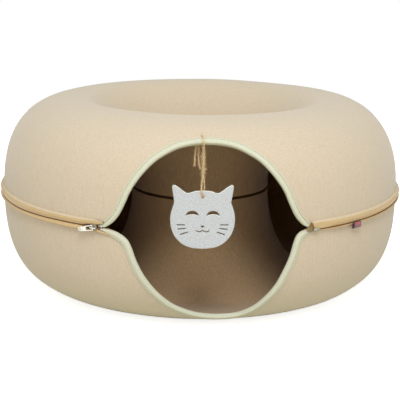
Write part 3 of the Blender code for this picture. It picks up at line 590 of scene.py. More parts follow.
# The tapes' margins are paler: a painted highlight along the top of each roll.
TAPE_MARGIN_HIGHLIGHT = woven_finish("tape_margin_painted_highlight", (212, 186, 148), (226, 203, 168),
                           0.8, TAPE_WEAVE, 0.2)
ZIP_TAPE_END = woven_finish("brown_tape_end", (122, 98, 54), (156, 130, 80), 0.4, FILM_WEAVE, 0.5)
SHADED_TAPE = woven_finish("tape_in_the_fold", (132, 96, 54), (156, 118, 72), 0.7, TAPE_WEAVE, 0.2)
LABEL_CLOTH = woven_finish("maroon_label", (62, 32, 34), (84, 46, 48), 0.7, LABEL_WEAVE)
LABEL_FIELD = woven_finish("mauve_label_field", (126, 96, 96), (152, 120, 120), 0.7, LABEL_WEAVE)
LABEL_STRIPE = woven_finish("rose_label_stripe", (186, 84, 92), (212, 118, 122), 0.7, LABEL_WEAVE)
TOUCH_STRIP = woven_finish("beige_touch_strip", (166, 146, 112), (190, 170, 138), 0.9, PILE_WEAVE)
# The binding's thread is darkened well below cream: painted shade in the stitch dips.
SHADED_STITCH_THREAD = woven_finish("binding_thread_painted_shade", (108, 100, 64), (130, 122, 86), 0.6, THREAD_WEAVE)
OCHRE_THREAD = woven_finish("ochre_thread", (176, 142, 94), (194, 160, 112), 0.6, THREAD_WEAVE)
print("woven finishes ready")


# %% Twine, coil and metal finishes
def twine_finish(name, dark, light):
    mat, tree, plied = start_finish(name, PLIED, "lay")
    colour = mix_colours(tree, plied["Fibres"], linear(*dark), linear(*light), 0.35, 0.65)
    finish_shader(tree, Base_Color=colour, Roughness=0.8,
                  Normal=bumped(tree, plied["Height"], 0.0002))
    return mat


def metal_finish(name, colour, dark, roughness, uneven=0.4):
    """Plated metal with painted reflection: faces that look down or sideways are
    given the darker colour, for the dark felt they would mirror. Handling smears
    mix in, and a large unevenness makes them blotches of painted reflection."""
    mat, tree, handled = start_finish(name, HANDLED, "object")
    facing = way_it_faces(tree)
    aside = times(tree, add_math(tree, "ABSOLUTE", facing["X"]), -0.55)
    reflection_and_smears = plus(tree, plus(tree, facing["Z"], aside), times(tree, handled["Smears"], uneven))
    shade = mix_colours(tree, reflection_and_smears, linear(*dark), linear(*colour),
                        uneven / 2 - 0.75, uneven / 2 - 0.15)
    rough = add_node(tree, "MapRange", {"Value": handled["Smears"], "To Min": roughness - 0.08,
                                        "To Max": roughness + 0.12}).outputs[0]
    finish_shader(tree, Base_Color=shade, Metallic=1.0, Roughness=rough,
                  Normal=bumped(tree, handled["Height"], 0.00002))
    return mat


def coil_finish(name, dark, light):
    mat, tree, handled = start_finish(name, HANDLED, "object")
    colour = mix_colours(tree, handled["Smears"], linear(*dark), linear(*light))
    finish_shader(tree, Base_Color=colour, Roughness=0.35)
    return mat


JUTE = twine_finish("jute_twine", (188, 144, 90), (252, 222, 172))
# Loose fibres and frayed ends are paler than the strands: painted light where they stand out into
# the light.
LIT_JUTE_FUZZ = twine_finish("jute_fuzz_painted_light", (226, 190, 136), (250, 224, 176))
# The dark colours are painted reflection. The slider's metal is darker all over, painted shade, and
# the box's big blotches are painted reflection.
ZIP_METAL = metal_finish("silver_zip_metal", (228, 224, 213), (104, 96, 80), 0.26)
BOX_METAL = metal_finish("blotched_zip_metal_painted_reflection", (176, 170, 152), (70, 60, 40), 0.4, 2.4)
SHADED_SLIDER_METAL = metal_finish("shaded_zip_metal", (150, 140, 116), (72, 62, 46), 0.4)
COIL_NYLON = coil_finish("brown_coil_nylon", (104, 64, 22), (134, 88, 36))
print("twine, metal and coil finishes ready")

# %% [markdown]
# ## The felt halves
# Each half is its section turned once round the axis and thickened inwards,
# then the entrance is cut through both with one cutter, as the maker's knife
# would. The cutter's walls stand square to the felt. After the cut a very slow
# wave is pressed into the felt away from the seams, because no drawn felt is
# perfectly round.

# %% Cutter of the entrance
RING_STEPS = 168
SECTION_STEPS = 30
CUT_OVERRUN = 0.003
SLIT_HALF = 0.0011
LEFT_SLIT = 0.0062
RIGHT_SLIT = 0.0002
TWINE_HOLE = (-0.0074, ENTRANCE_RISE + 0.0063)
TWINE_HOLE_RADIUS = 0.0013


def slit_open(edge, side):
    """The edge held a little off the seam near the tips, where the two halves
    aren't sewn together, and carried past the left tip to the binding's end."""
    held = [Vector((p.x, side * max(abs(p.y), SLIT_HALF), 0)) for p in edge]
    held[0] = Vector((edge[0].x - LEFT_SLIT, side * SLIT_HALF, 0))
    held[-1] = Vector((edge[-1].x + RIGHT_SLIT, side * SLIT_HALF, 0))
    return held


def entrance_cutter():
    outline = slit_open(UPPER_EDGE, 1) + slit_open(LOWER_EDGE, -1)[::-1]
    bm = bmesh.new()
    inner, outer = [
        [bm.verts.new(RING + felt_point(p.x, p.y) + felt_normal(p.x, p.y) * overrun)
         for p in outline]
        for overrun in (-FELT_THICKNESS - CUT_OVERRUN, CUT_OVERRUN)]
    back = bm.verts.new(RING + Vector((0, -(CREST_RADIUS + BELLY_RADIUS) / 2, 0)))
    front = bm.verts.new(RING + Vector((0, -2 * FELT_RADIUS, 0)))
    for i in range(len(outline)):
        j = (i + 1) % len(outline)
        bm.faces.new((inner[i], inner[j], outer[j], outer[i]))
        bm.faces.new((back, inner[j], inner[i]))
        bm.faces.new((front, outer[i], outer[j]))
    bmesh.ops.recalc_face_normals(bm, faces=bm.faces)
    return add_object("entrance_cutter", mesh_of("entrance_cutter", bm))


def twine_hole_cutter():
    bm = bmesh.new()
    bmesh.ops.create_cone(bm, cap_ends=True, segments=16, radius1=TWINE_HOLE_RADIUS,
                          radius2=TWINE_HOLE_RADIUS, depth=4 * FELT_THICKNESS)
    cutter = add_object("twine_hole_cutter", mesh_of("twine_hole_cutter", bm))
    cutter.location = RING + felt_point(*TWINE_HOLE)
    cutter.rotation_euler = felt_normal(*TWINE_HOLE).to_track_quat("Z", "Y").to_euler()
    return cutter


entrance_cut, twine_cut = entrance_cutter(), twine_hole_cutter()
print("cutter faces:", len(entrance_cut.data.polygons))

# %% Turned felt
TUCKED_BELOW = -0.0032
TUCK_OUTSIDE = 0.11
TUCK_SPARE = 0.0005
WALL_SPARE = 0.0002
INSIDE_LOOK = 0.25
WAVE_HEIGHT = 0.0011
WAVES_PER_METRE = 9.0
WAVE_FROM_ZIP, WAVE_FULL = 0.014, 0.04
WAVE_FROM_ENTRANCE, WAVE_TURN = 0.62, 0.35


def clamped(value):
    return min(1.0, max(0.0, value))


def felt_wave(point):
    """How far the felt stands out or in at a point, nothing near the seams."""
    flat = from_axis(point)
    angle = abs(math.atan2(flat.x, -flat.y))
    share = clamped((abs(point.z - RING.z) - WAVE_FROM_ZIP) / WAVE_FULL)
    if flat.length >= CREST_RADIUS:
        share *= clamped((angle - WAVE_FROM_ENTRANCE) / WAVE_TURN)
    return WAVE_HEIGHT * share * noise.noise(point * WAVES_PER_METRE)


def turned_felt(name, section, cuts):
    mesh = bpy.data.meshes.new(name)
    mesh.from_pydata([(radius, 0, height) for radius, height in section],
                     [(i, i + 1) for i in range(len(section) - 1)], [])
    turned = add_object(name, mesh)
    turned.location = RING
    screw = turned.modifiers.new("Screw", "SCREW")
    screw.steps = screw.render_steps = RING_STEPS
    screw.use_merge_vertices = True
    screw.merge_threshold = 0.00001
    solidify = turned.modifiers.new("Solidify", "SOLIDIFY")
    solidify.thickness = FELT_THICKNESS
    solidify.offset = -1.0
    solidify.use_even_offset = True
    for cutter in cuts:
        boolean = turned.modifiers.new("Boolean", "BOOLEAN")
        boolean.object = cutter
        boolean.solver = "EXACT"
    made = frozen(turned)
    made.transform(Matrix.Translation(RING))
    normals = [v.normal.copy() for v in made.vertices]
    for vertex, normal in zip(made.vertices, normals):
        vertex.co += normal * felt_wave(vertex.co)
    made.shade_smooth()
    made.set_sharp_from_angle(angle=math.radians(35))
    return made


def is_inside(face):
    """True on the face of the felt that looks into the tunnel."""
    core = RING + from_axis(face.center).normalized() * (FELT_RADIUS + HOLE_RADIUS) / 2
    return (core - face.center).normalized().dot(face.normal) > INSIDE_LOOK


def in_the_tuck(face):
    """True where the halves overlap round the centre hole: the faces given the painted shade of the
    seam.
    """
    radius = from_axis(face.center).length
    edge = TUCKED_BELOW if radius < HOLE_RADIUS + FELT_THICKNESS + WALL_SPARE else 0.0
    return (edge < face.center.z - RING.z < SEAM_BAND_HEIGHT
            and LIP_HOLE_RADIUS + TUCK_SPARE < radius < TUCK_OUTSIDE)


def felt_half(which, section, cuts):
    """A half of the felt: its skin, its inside in painted shade and the tuck in darker painted
    shade.
    """
    name = which + "_felt"
    felt = add_piece(name, turned_felt(name, section, cuts), (WARM_FELT, SHADED_INNER_FELT, SEAM_SHADE_FELT),
                     which + "_half", (name + "_shell",))
    for face in felt.data.polygons:
        face.material_index = 1 if is_inside(face) else 0
        if which == "lower" and in_the_tuck(face):
            face.material_index = 2
    print(name, "faces:", len(felt.data.polygons))


felt_half("upper", upper_section(SECTION_STEPS), (entrance_cut, twine_cut))
felt_half("lower", lower_section(SECTION_STEPS), (entrance_cut,))
for cutter in (entrance_cut, twine_cut):
    bpy.data.objects.remove(cutter, do_unlink=True)

# %% [markdown]
# ## The binding
# The raw cut is closed with a woven tape, folded over the edge and sewn
# through. Its section is drawn once and carried along the edge. Every stitch
# pulls the tape in a little, so the section dips at the seam line and more so
# at the stitches.

# %% Section of the binding
BINDING_LEG = 0.0068
BINDING_THICKNESS = 0.001
STITCH_FROM_MARGIN = 0.0022
STITCH_PITCH = 0.0034
BINDING_STEP = 0.0017
SEAM_LIFT = 0.0012
TIP_CLEARANCE = 0.0035
LEFT_OVERRUN = 0.0070
RIGHT_OVERRUN = -0.0030
WIDENING = 0.012
END_ROUNDING = 0.0034
NARROW, END_WIDTH = 0.74, 0.3
FOLD_AT_TIP, FOLD_GROWS, FOLD_REACH = 0.0003, 0.0016, 0.009
SEAM_DIP, STITCH_DIP = 0.0005, 0.0002
RIPPLE, RIPPLES_PER_METRE = 0.025, 60.0
SEAM_POINT = 4


def binding_section(leg, dip, fold):
    """The tape round a cut edge: place along the felt and height above it, from
    the outside margin round the edge to the inside one and back underneath."""
    top = BINDING_THICKNESS + 0.0003
    seam = max(leg - STITCH_FROM_MARGIN, 0.0018)
    outside = [
        (leg, 0.0003), (leg - 0.0001, top - 0.0004), (leg - 0.0006, top),
        (seam + 0.0006, top + 0.0001), (seam, top - dip), (seam - 0.0006, top + 0.0002),
        (seam * 0.5, top + 0.0004), (0.0004, top + 0.0002),
    ]
    half = FELT_THICKNESS / 2 + top
    turned = [(-fold * max(math.cos(turn), 0) ** 0.75, -FELT_THICKNESS / 2 + half * math.sin(turn))
              for turn in even_turns(math.pi / 2, -math.pi / 2, 8)]
    inside = [(along, -FELT_THICKNESS - height) for along, height in outside[::-1]]
    under = [(leg - 0.0003, -FELT_THICKNESS - 0.0001), (-0.0002, -FELT_THICKNESS - 0.0001),
             (-0.0002, 0.0001), (leg - 0.0003, 0.0001)]
    return outside + turned + inside + under


def bound_path(edge):
    """The edge that the tape follows: it comes in along the closed seam, then
    takes the edge of the entrance. The two tips aren't finished alike."""
    lift = math.copysign(SEAM_LIFT, edge[len(edge) // 2].y)
    ends = []
    for tip in (edge[0], edge[-1]):
        overrun = LEFT_OVERRUN if tip.x < 0 else RIGHT_OVERRUN
        shares = (1, 0.5, 0) if overrun > 0 else (1,)
        ends.append([Vector((tip.x + math.copysign(overrun * share, tip.x), lift, 0))
                     for share in shares])
    free = [p for p in edge if abs(p.y) > TIP_CLEARANCE]
    return smooth_through(ends[0] + free + ends[1][::-1], 3)


def edge_rows(edge):
    """Rows of the binding along an edge that has the opening on its right."""
    path = evenly([RING + felt_point(p.x, p.y) for p in bound_path(edge)], BINDING_STEP)
    rows = []
    for i, point in enumerate(path):
        local = point - RING
        away = felt_normal(local.x, local.z).cross(along_path(path, i)).normalized()
        from_end = min(i, len(path) - 1 - i) * BINDING_STEP
        leg = BINDING_LEG * (NARROW + (1 - NARROW) * min(1.0, from_end / WIDENING))
        leg *= min(1.0, END_WIDTH + (1 - END_WIDTH) * math.sqrt(from_end / END_ROUNDING))
        fold = FOLD_AT_TIP + FOLD_GROWS * min(1.0, abs(local.z) / FOLD_REACH) ** 1.5
        dip = SEAM_DIP + STITCH_DIP * math.cos(math.tau * i * BINDING_STEP / STITCH_PITCH)
        ripple = 1.0 + RIPPLE * noise.noise(point * RIPPLES_PER_METRE)
        row = []
        for place, height in binding_section(leg, dip, fold):
            on_felt = local + away * place * ripple
            spot = felt_point(on_felt.x, on_felt.z)
            row.append(RING + spot + felt_normal(spot.x, spot.z) * height)
        rows.append(row)
    print("binding length:", round(path_length(path), 3))
    return rows


# %% Bindings and their stitches
STITCH_LIFT = 0.0003
STITCH_RADIUS = 0.00044


def add_stitch(bm, start, end, outward, radius):
    """One short thread that arches between two needle holes."""
    path = smooth_through([start, (start + end) / 2 + outward * STITCH_LIFT, end], 2)
    sizes = [radius * 0.55] + [radius] * (len(path) - 2) + [radius * 0.55]
    add_loft(bm, [round_row(path[i], across_path(path, i), sizes[i], 5) for i in range(len(path))])


def bind_edge(which, edge):
    name, body = which + "_binding", which + "_half"
    rows = edge_rows(edge)
    add_piece(name, loft(name, rows), (BINDING_TAPE,), body, (which + "_entry_binding",))
    bm = bmesh.new()
    every = STITCH_PITCH / BINDING_STEP
    inside_seam = len(rows[0]) - 2 * SEAM_POINT - 1
    for n in range(1, int((len(rows) - 1) / every) - 1):
        for seam, under in ((SEAM_POINT, -1), (inside_seam, -4)):
            ends = []
            for place in ((n + 0.2) * every, (n + 0.9) * every):
                k = int(place)
                ends.append(rows[k][seam].lerp(rows[k + 1][seam], place - k))
            outward = (rows[k][seam] - rows[k][under]).normalized()
            add_stitch(bm, *ends, outward, STITCH_RADIUS)
    name += "_stitches"
    add_piece(name, finished_mesh(name, bm), (SHADED_STITCH_THREAD,), body)


bind_edge("upper", UPPER_EDGE)
bind_edge("lower", LOWER_EDGE[::-1])

# %% [markdown]
# ## The zip
# The zip runs from one tip of the entrance round the back to the other. Its
# tapes are woven, their margins are sewn to the felt, and they roll over the
# coils so that only a narrow slot shows. A tape is a section in radius and
# height, carried round the ring.

# %% Places along the zip
TIP_ANGLE = math.asin(ENTRANCE_HALF_WIDTH / FELT_RADIUS)
TAPE_ANGLE = TIP_ANGLE + 0.0019 / FELT_RADIUS
SLIDER_FROM_TIP = 0.0142
BOX_FROM_TIP = 0.0094
PARTED_FROM_TIP = 0.0205
FAR_STOP_FROM_TIP = 0.0205
SLIDER_ANGLE = -TIP_ANGLE - SLIDER_FROM_TIP / FELT_RADIUS
BOX_ANGLE = TIP_ANGLE + BOX_FROM_TIP / FELT_RADIUS
LABEL_ANGLE = TIP_ANGLE + 0.0822 / FELT_RADIUS
FILM_LENGTH = 0.0075
TAPE_FIRST = TAPE_ANGLE + FILM_LENGTH / FELT_RADIUS
TAPE_LAST = math.tau - TAPE_ANGLE
CLAMPED_WITHIN, CLAMP_FADES = 0.006, 0.014
RIGHT_UNTIL, RIGHT_FADES = math.radians(110), math.radians(140)
SLOT_RISE, RISE_REACH = 0.0008, 0.1
SLOT_SAG, SAG_FROM, SAG_REACH = 0.0022, 0.08, 0.09
SLOT_LOW_ON_RIGHT = 0.0019
PARTED_REACH = 0.0105


def past_tip(angle):
    """How far an angle is from the right tip and from the left one, in metres."""
    return (angle - TIP_ANGLE) * FELT_RADIUS, (math.tau - TIP_ANGLE - angle) * FELT_RADIUS


def flattened(angle):
    """1 along the zip, 0 where the slider, at either end of its way, or the box
    clamps the tapes."""
    right, left = past_tip(angle)
    away = min(abs(left - SLIDER_FROM_TIP), abs(right - BOX_FROM_TIP),
               abs(right - FAR_STOP_FROM_TIP), left)
    return clamped((away - CLAMPED_WITHIN) / CLAMP_FADES)


def right_share(angle):
    """1 on the ring's right side, 0 on its left one: the tapes aren't sewn on
    evenly, and both are narrower on the right."""
    turn = clamped((angle - RIGHT_UNTIL) / RIGHT_FADES)
    return 1.0 - turn * turn * (3 - 2 * turn)


def slot_height(angle):
    """The slot wanders: a little up beside the slider and down on the right."""
    right, left = right_share(angle), past_tip(angle)[1]
    rise = SLOT_RISE * max(0.0, 1.0 - left / RISE_REACH)
    sag = SLOT_SAG * clamped((left - SAG_FROM) / SAG_REACH)
    return (rise - sag) * (1 - right) - SLOT_LOW_ON_RIGHT * right


def lips_apart(angle):
    """The slider has pushed both lips apart, so the coil shows behind the pull."""
    return max(0.0, 1.0 - abs(past_tip(angle)[1] - PARTED_FROM_TIP) / PARTED_REACH) ** 0.7


print("zip from", round(math.degrees(TAPE_FIRST)), "to", round(math.degrees(TAPE_LAST)), "degrees")


# %% Section of a tape
TAPE_POINTS = [
    (1.00, 0.0001, 0.0001), (0.92, 0.0010, 0.0008), (0.84, 0.0023, 0.0018), (0.75, 0.0038, 0.0028),
    (0.66, 0.0049, 0.0033), (0.55, 0.0052, 0.0034), (0.44, 0.0050, 0.0034), (0.32, 0.0044, 0.0034),
    (0.20, 0.0039, 0.0034), (0.08, 0.0034, 0.0033), (0.00, 0.0029, 0.0031),
]
TAPE_THICKNESS = 0.0006
FOLDED_END = 0.0135
FOLD_LIFT = 0.0022
LIP_FROM_SLOT = 0.0008
# How each tape lies: how far its lip folds away and how that grows, how far the
# slider pushes it, the margin's height, and its change on the right and in the fold.
TAPE_LAY = {
    1: (0.0050, 0.6, 0.0024, 0.0099, -0.0004, -0.0012),
    -1: (0.0046, 0.7, 0.0040, -0.0072, 0.0036, 0.0004),
}


def tape_section(angle, side):
    """A tape from its margin on the felt over its roll to its edge at the coil.
    The points give a share of the way from the lip to the margin, and the lift
    off the felt where the tape rolls and where it is flat. Beside the slider
    the end is folded away from the seam. On the right the lower tape, whose
    side is -1, hardly shows under the swollen felt."""
    folds, growth, pushed, margin, on_right, in_fold = TAPE_LAY[side]
    roll = flattened(angle)
    fold = clamped(1.0 - past_tip(angle)[1] / FOLDED_END)
    away = LIP_FROM_SLOT + folds * fold ** growth + pushed * lips_apart(angle)
    lip = slot_height(angle) + side * away
    margin += on_right * right_share(angle) + in_fold * fold
    rest = FOLD_LIFT * min(1.0, fold * 4)
    outside = [(FELT_RADIUS + max(lift * roll + flat * (1 - roll), rest),
                lip + share * (margin - lip)) for share, lift, flat in TAPE_POINTS]
    return outside + [(radius - TAPE_THICKNESS, height) for radius, height in outside[-2:0:-1]]


print("points round a tape:", len(tape_section(TAPE_FIRST, 1)))


# %% Tapes
TAPE_STEP = 0.004
SKEW_REACH = 0.012
MARGIN_POINTS = 3
MARGIN_PITCH = 0.0036
MARGIN_STITCH = (0.15, 0.8)
MARGIN_THREAD = 0.0002
THREAD_LIFT = 0.0001
UPPER_SKEW = -0.7


def tape_piece(which, side, skew):
    """A tape whose margin is paler, a painted highlight along the top of the roll. A
    skew moves the ends of the rows by their height above the zip."""
    steps = max(2, round((TAPE_LAST - TAPE_FIRST) * FELT_RADIUS / TAPE_STEP))
    rows = []
    for i, angle in enumerate(even_turns(TAPE_FIRST, TAPE_LAST, steps)):
        lean = skew * max(0.0, 1.0 - i * TAPE_STEP / SKEW_REACH) / FELT_RADIUS
        rows.append([ring_point(angle + lean * height, radius, height)
                     for radius, height in tape_section(angle, side)])
    name = which + "_tape"
    piece = add_piece(name, loft(name, rows), (ZIP_TAPE, TAPE_MARGIN_HIGHLIGHT), which + "_half",
                      (which + "_zip_tape",))
    for face in piece.data.polygons[:(steps * len(rows[0]))]:
        face.material_index = 1 if face.index % len(rows[0]) < MARGIN_POINTS else 0


def margin_stitches(which, side, point):
    """A row of short stitches along one point of a tape's section."""
    bm = bmesh.new()
    pitch = MARGIN_PITCH / FELT_RADIUS
    for n in range(int((TAPE_LAST - TAPE_FIRST) / pitch)):
        ends = []
        for share in MARGIN_STITCH:
            angle = TAPE_FIRST + pitch * (n + share)
            radius, height = tape_section(angle, side)[point]
            ends.append(ring_point(angle, radius + THREAD_LIFT, height))
        add_stitch(bm, *ends, from_axis(ends[0]).normalized(), MARGIN_THREAD)
    name = which + "_tape_stitches"
    add_piece(name, finished_mesh(name, bm), (OCHRE_THREAD,), which + "_half")


tape_piece("upper", 1, UPPER_SKEW)
tape_piece("lower", -1, 0.0)
margin_stitches("upper", 1, 3)
margin_stitches("lower", -1, 2)
print("tapes round", round(math.degrees(TAPE_LAST - TAPE_FIRST)), "degrees")

# %% [markdown]
# ## The ends of the zip
# At its right end the lower tape is stiffened with a brown film that bridges the
# tip, and the upper tape is folded back into a small triangle. A metal box with
# a pin joins the two halves there. At the left end the tapes are folded away
# from the seam beside the slider, and the lower one runs on along the binding.

# %% Folded tape ends
FLAP_THICKNESS = 0.0005
FLAPS = [
    # name, tip, finish, corners: a distance from the tip, a lift off the felt, a height
    ("lower_tape_film", 1, ZIP_TAPE_END, [
        (-0.0046, 0.0021, 0.0010), (-0.0020, 0.0022, 0.0026), (0.0020, 0.0024, 0.0024),
        (0.0052, 0.0026, 0.0014), (0.0054, 0.0026, -0.0030), (0.0030, 0.0024, -0.0042),
        (-0.0010, 0.0022, -0.0038), (-0.0042, 0.0021, -0.0020)]),
    ("upper_tape_fold", 1, SHADED_TAPE, [
        (-0.0006, 0.0022, 0.0034), (0.0008, 0.0022, 0.0066), (0.0024, 0.0022, 0.0086),
        (0.0042, 0.0022, 0.0060), (0.0070, 0.0030, 0.0014), (0.0040, 0.0026, 0.0012),
        (0.0016, 0.0024, 0.0022)]),
    ("upper_tape_triangle", 1, ZIP_TAPE, [
        (0.0034, 0.0028, 0.0090), (0.0052, 0.0030, 0.0092), (0.0084, 0.0042, 0.0044),
        (0.0098, 0.0042, 0.0012), (0.0072, 0.0038, 0.0010), (0.0050, 0.0032, 0.0052)]),
    ("lower_tape_run_on", -1, ZIP_TAPE, [
        (0.0110, 0.0032, -0.0030), (0.0070, 0.0030, -0.0040), (0.0000, 0.0024, -0.0050),
        (-0.0060, 0.0021, -0.0060), (-0.0098, 0.0018, -0.0076), (-0.0092, 0.0018, -0.0086),
        (-0.0040, 0.0021, -0.0078), (0.0030, 0.0026, -0.0066), (0.0090, 0.0030, -0.0058)]),
    ("upper_tape_hook", -1, ZIP_TAPE_END, [
        (0.0016, 0.0026, 0.0070), (0.0004, 0.0026, 0.0086), (-0.0008, 0.0026, 0.0096),
        (-0.0010, 0.0026, 0.0086), (0.0000, 0.0026, 0.0070)]),
]


def flap(name, tip, finish, corners):
    """A thin folded piece of tape that bulges in the middle."""
    path = [ring_point(tip * (TIP_ANGLE + away / FELT_RADIUS), FELT_RADIUS + lift, height)
            for away, lift, height in corners]
    outline = smooth_through(path, 3, closed=True)
    middle = sum(outline, Vector()) / len(outline)
    outward = from_axis(middle).normalized() * FLAP_THICKNESS
    bm = bmesh.new()
    lay = bm.loops.layers.uv.new("lay")
    rings = [[bm.verts.new(p.lerp(middle, inset) + outward * lift) for p in outline]
             for inset, lift in ((0.0, 0.0), (0.0, 0.7), (0.12, 1.0), (0.5, 1.5))]
    count = len(outline)
    for low, high in zip(rings, rings[1:]):
        for i in range(count):
            bm.faces.new((low[i], low[(i + 1) % count], high[(i + 1) % count], high[i]))
    bm.faces.new(rings[-1])
    bm.faces.new(rings[0][::-1])
    for face in bm.faces:
        for loop in face.loops:
            place = loop.vert.co - outline[0]
            loop[lay].uv = (place.to_2d().length, place.z)
    body = name.split("_")[0] + "_half"
    add_piece(name, finished_mesh(name, bm, 60), (finish,), body)


for values in FLAPS:
    flap(*values)
print("tape ends folded:", len(FLAPS))

# %% Coils
COIL_PITCH = 0.0021
TOOTH_LENGTH = 0.0013
TOOTH_FAR = 0.0031
TOOTH_OVER = 0.00045
COIL_INNER = 0.2972
COIL_OUTER = 0.2985
COIL_FIRST = BOX_ANGLE + 0.0047 / FELT_RADIUS
LOWER_COIL_LAST = TAPE_LAST - 0.0025 / FELT_RADIUS
UPPER_COIL_LAST = math.tau + SLIDER_ANGLE - 0.0057 / FELT_RADIUS
# The corners of one tooth's faces: a head, its flanks and its outer end.
TOOTH_FACES = [
    (0, 1, 3, 2), (6, 8, 9, 7), (0, 2, 8, 6), (1, 7, 9, 3),
    (2, 3, 5, 4), (8, 10, 11, 9), (2, 4, 10, 8), (3, 9, 11, 5), (4, 5, 11, 10), (0, 6, 7, 1),
]


def coil(which, side, last):
    """A row of nylon teeth whose heads reach past the middle of the zip. The
    lower row lies half a pitch further on."""
    bm = bmesh.new()
    for n in range(int((last - COIL_FIRST) * FELT_RADIUS / COIL_PITCH)):
        middle = COIL_FIRST + (n + (0.25 if side > 0 else 0.75)) * COIL_PITCH / FELT_RADIUS
        corners = []
        for radius in (COIL_INNER, COIL_OUTER):
            for height, share in ((TOOTH_FAR, 0.7), (TOOTH_OVER, 0.7), (-TOOTH_OVER, 0.5)):
                for turn in (-1, 1):
                    angle = middle + turn * share * TOOTH_LENGTH / 2 / FELT_RADIUS
                    corners.append(bm.verts.new(ring_point(angle, radius, side * height)))
        for face in TOOTH_FACES:
            bm.faces.new([corners[k] for k in face])
    name = which + "_coil"
    add_piece(name, finished_mesh(name, bm, 30), (COIL_NYLON,), which + "_half",
              (which + "_zip_coil",))


coil("lower", -1, LOWER_COIL_LAST)
coil("upper", 1, UPPER_COIL_LAST)
print("coil teeth set")

# %% [markdown]
# ## Metal pieces
# The slider, its crown and pull, the box, the pin and the stops are pressed or
# cast, then plated. Pressing leaves a rounded edge everywhere, so each piece is
# drawn flat, thickened and given a bevel.


# %% Pressed pieces
def zip_place(angle, radius=0.0, height=0.0):
    """A frame on the zip: X along it to the right, -Y outwards and Z up."""
    return (Matrix.Translation(RING) @ Matrix.Rotation(angle, 4, "Z")
            @ Matrix.Translation((0, -radius, height)))


def oval(centre, wide, high, first, last, steps):
    """Points round part of an oval, between two turns in degrees."""
    return [(centre[0] + wide * math.cos(t), centre[1] + high * math.sin(t))
            for t in even_turns(math.radians(first), math.radians(last), steps)]


def arc(centre, radius, first, last, steps):
    return oval(centre, radius, radius, first, last, steps)


def rounded(half_length, half_width, radius, middle=0.0):
    """A rectangle with round corners, along X from its middle."""
    a, b = half_length - radius, half_width - radius
    outline = []
    for x, y, first in ((a, b, 0), (-a, b, 90), (-a, -b, 180), (a, -b, 270)):
        outline += arc((middle + x, y), radius, first, first + 90, 4)
    return outline


def mirrored(outline):
    return [(-x, y) for x, y in outline[::-1]]


def pressed(outlines, thickness, bevel, place, bevel_steps=2):
    """Fills flat outlines, thickens them and rounds the edges. The outlines'
    first axis is X and their second is Z of the place."""
    curve = bpy.data.curves.new("pressed", "CURVE")
    curve.dimensions = "2D"
    curve.fill_mode = "BOTH"
    curve.extrude = thickness / 2 - bevel
    curve.bevel_depth = bevel
    curve.bevel_resolution = bevel_steps
    curve.offset = -bevel
    for outline in outlines:
        spline = curve.splines.new("POLY")
        spline.points.add(len(outline) - 1)
        for point, (x, y) in zip(spline.points, outline):
            point.co = (x, y, 0, 1)
        spline.use_cyclic_u = True
    mesh = frozen(add_object("pressed", curve))
    bm = bmesh.new()
    bm.from_mesh(mesh)
    bpy.data.meshes.remove(mesh)
    bmesh.ops.remove_doubles(bm, verts=bm.verts, dist=0.000002)
    bm.transform(place @ Matrix.Rotation(math.pi / 2, 4, "X"))
    return bm


def metal_piece(name, body, node, finish, parts):
    """A metal piece from its parts. Each has outlines, a thickness, a bevel and
    a place."""
    bm = bmesh.new()
    for part in parts:
        spare = mesh_of("spare", pressed(*part))
        bm.from_mesh(spare)
        bpy.data.meshes.remove(spare)
    add_piece(name, finished_mesh(name, bm, 35), (finish,), body, (node,))
    print("pressed", name, "from", len(parts), "parts")


# %% Slider, crown and pull
PLATE_MIDDLE = 0.30033
INNER_MIDDLE = 0.29649
RIM_MIDDLE = 0.29985
CROWN_MIDDLE = 0.30108
PULL_AXIS = 0.30198
PULL_DROOP = math.radians(13)
PULL_LENGTH = 0.0225
PULL_HALF_WIDTH = 0.00375
PULL_CORNER = 0.0008
PULL_END = 0.0029
PULL_END_HOLE = 0.0010
PULL_WINDOW = 0.0098
PULL_WINDOW_HALF = 0.00215
PULL_BAR = 0.0011
SLIDER_EDGE = [
    (-0.0047, -0.0036), (-0.0043, -0.0041), (-0.0036, -0.0043), (0.0025, -0.0043),
    (0.0036, -0.0040), (0.0046, -0.0033), (0.0053, -0.0022), (0.0054, -0.0010),
]


def on_slider(radius, height=0.0):
    return zip_place(SLIDER_ANGLE, radius, height)


slider_outline = SLIDER_EDGE + [(x, -y) for x, y in SLIDER_EDGE[::-1]]
blade = rounded(0.0014, 0.00035, 0.0002, 0.0034)
rim = rounded(0.0040, 0.00035, 0.0002, -0.0004)
metal_piece("slider", "zip_slider", "slider_body", SHADED_SLIDER_METAL, [
    ([slider_outline], 0.0009, 0.0003, on_slider(PLATE_MIDDLE)),
    ([slider_outline], 0.0007, 0.0002, on_slider(INNER_MIDDLE)),
    ([blade], 0.0036, 0.0001, on_slider((PLATE_MIDDLE + INNER_MIDDLE) / 2)),
    ([rim], 0.0013, 0.0002, on_slider(RIM_MIDDLE, -0.0041)),
    ([rim], 0.0013, 0.0002, on_slider(RIM_MIDDLE, 0.0041)),
])

crown_outside = [(0.0044, 0.0), (0.0044, 0.0011)] + arc((0.0026, 0.0013), 0.0016, 0, 90, 4)
crown_inside = [(0.0036, 0.0), (0.0036, 0.0010)] + arc((0.0024, 0.0012), 0.0009, 0, 90, 4)
crown_outline = (crown_outside + mirrored(crown_outside) + mirrored(crown_inside)[::-1]
                 + crown_inside[::-1])
metal_piece("crown", "zip_slider", "slider_crown", ZIP_METAL, [
    ([crown_outline], 0.0016, 0.00025,
     on_slider(CROWN_MIDDLE) @ Matrix.Rotation(math.pi / 2, 4, "X")),
])

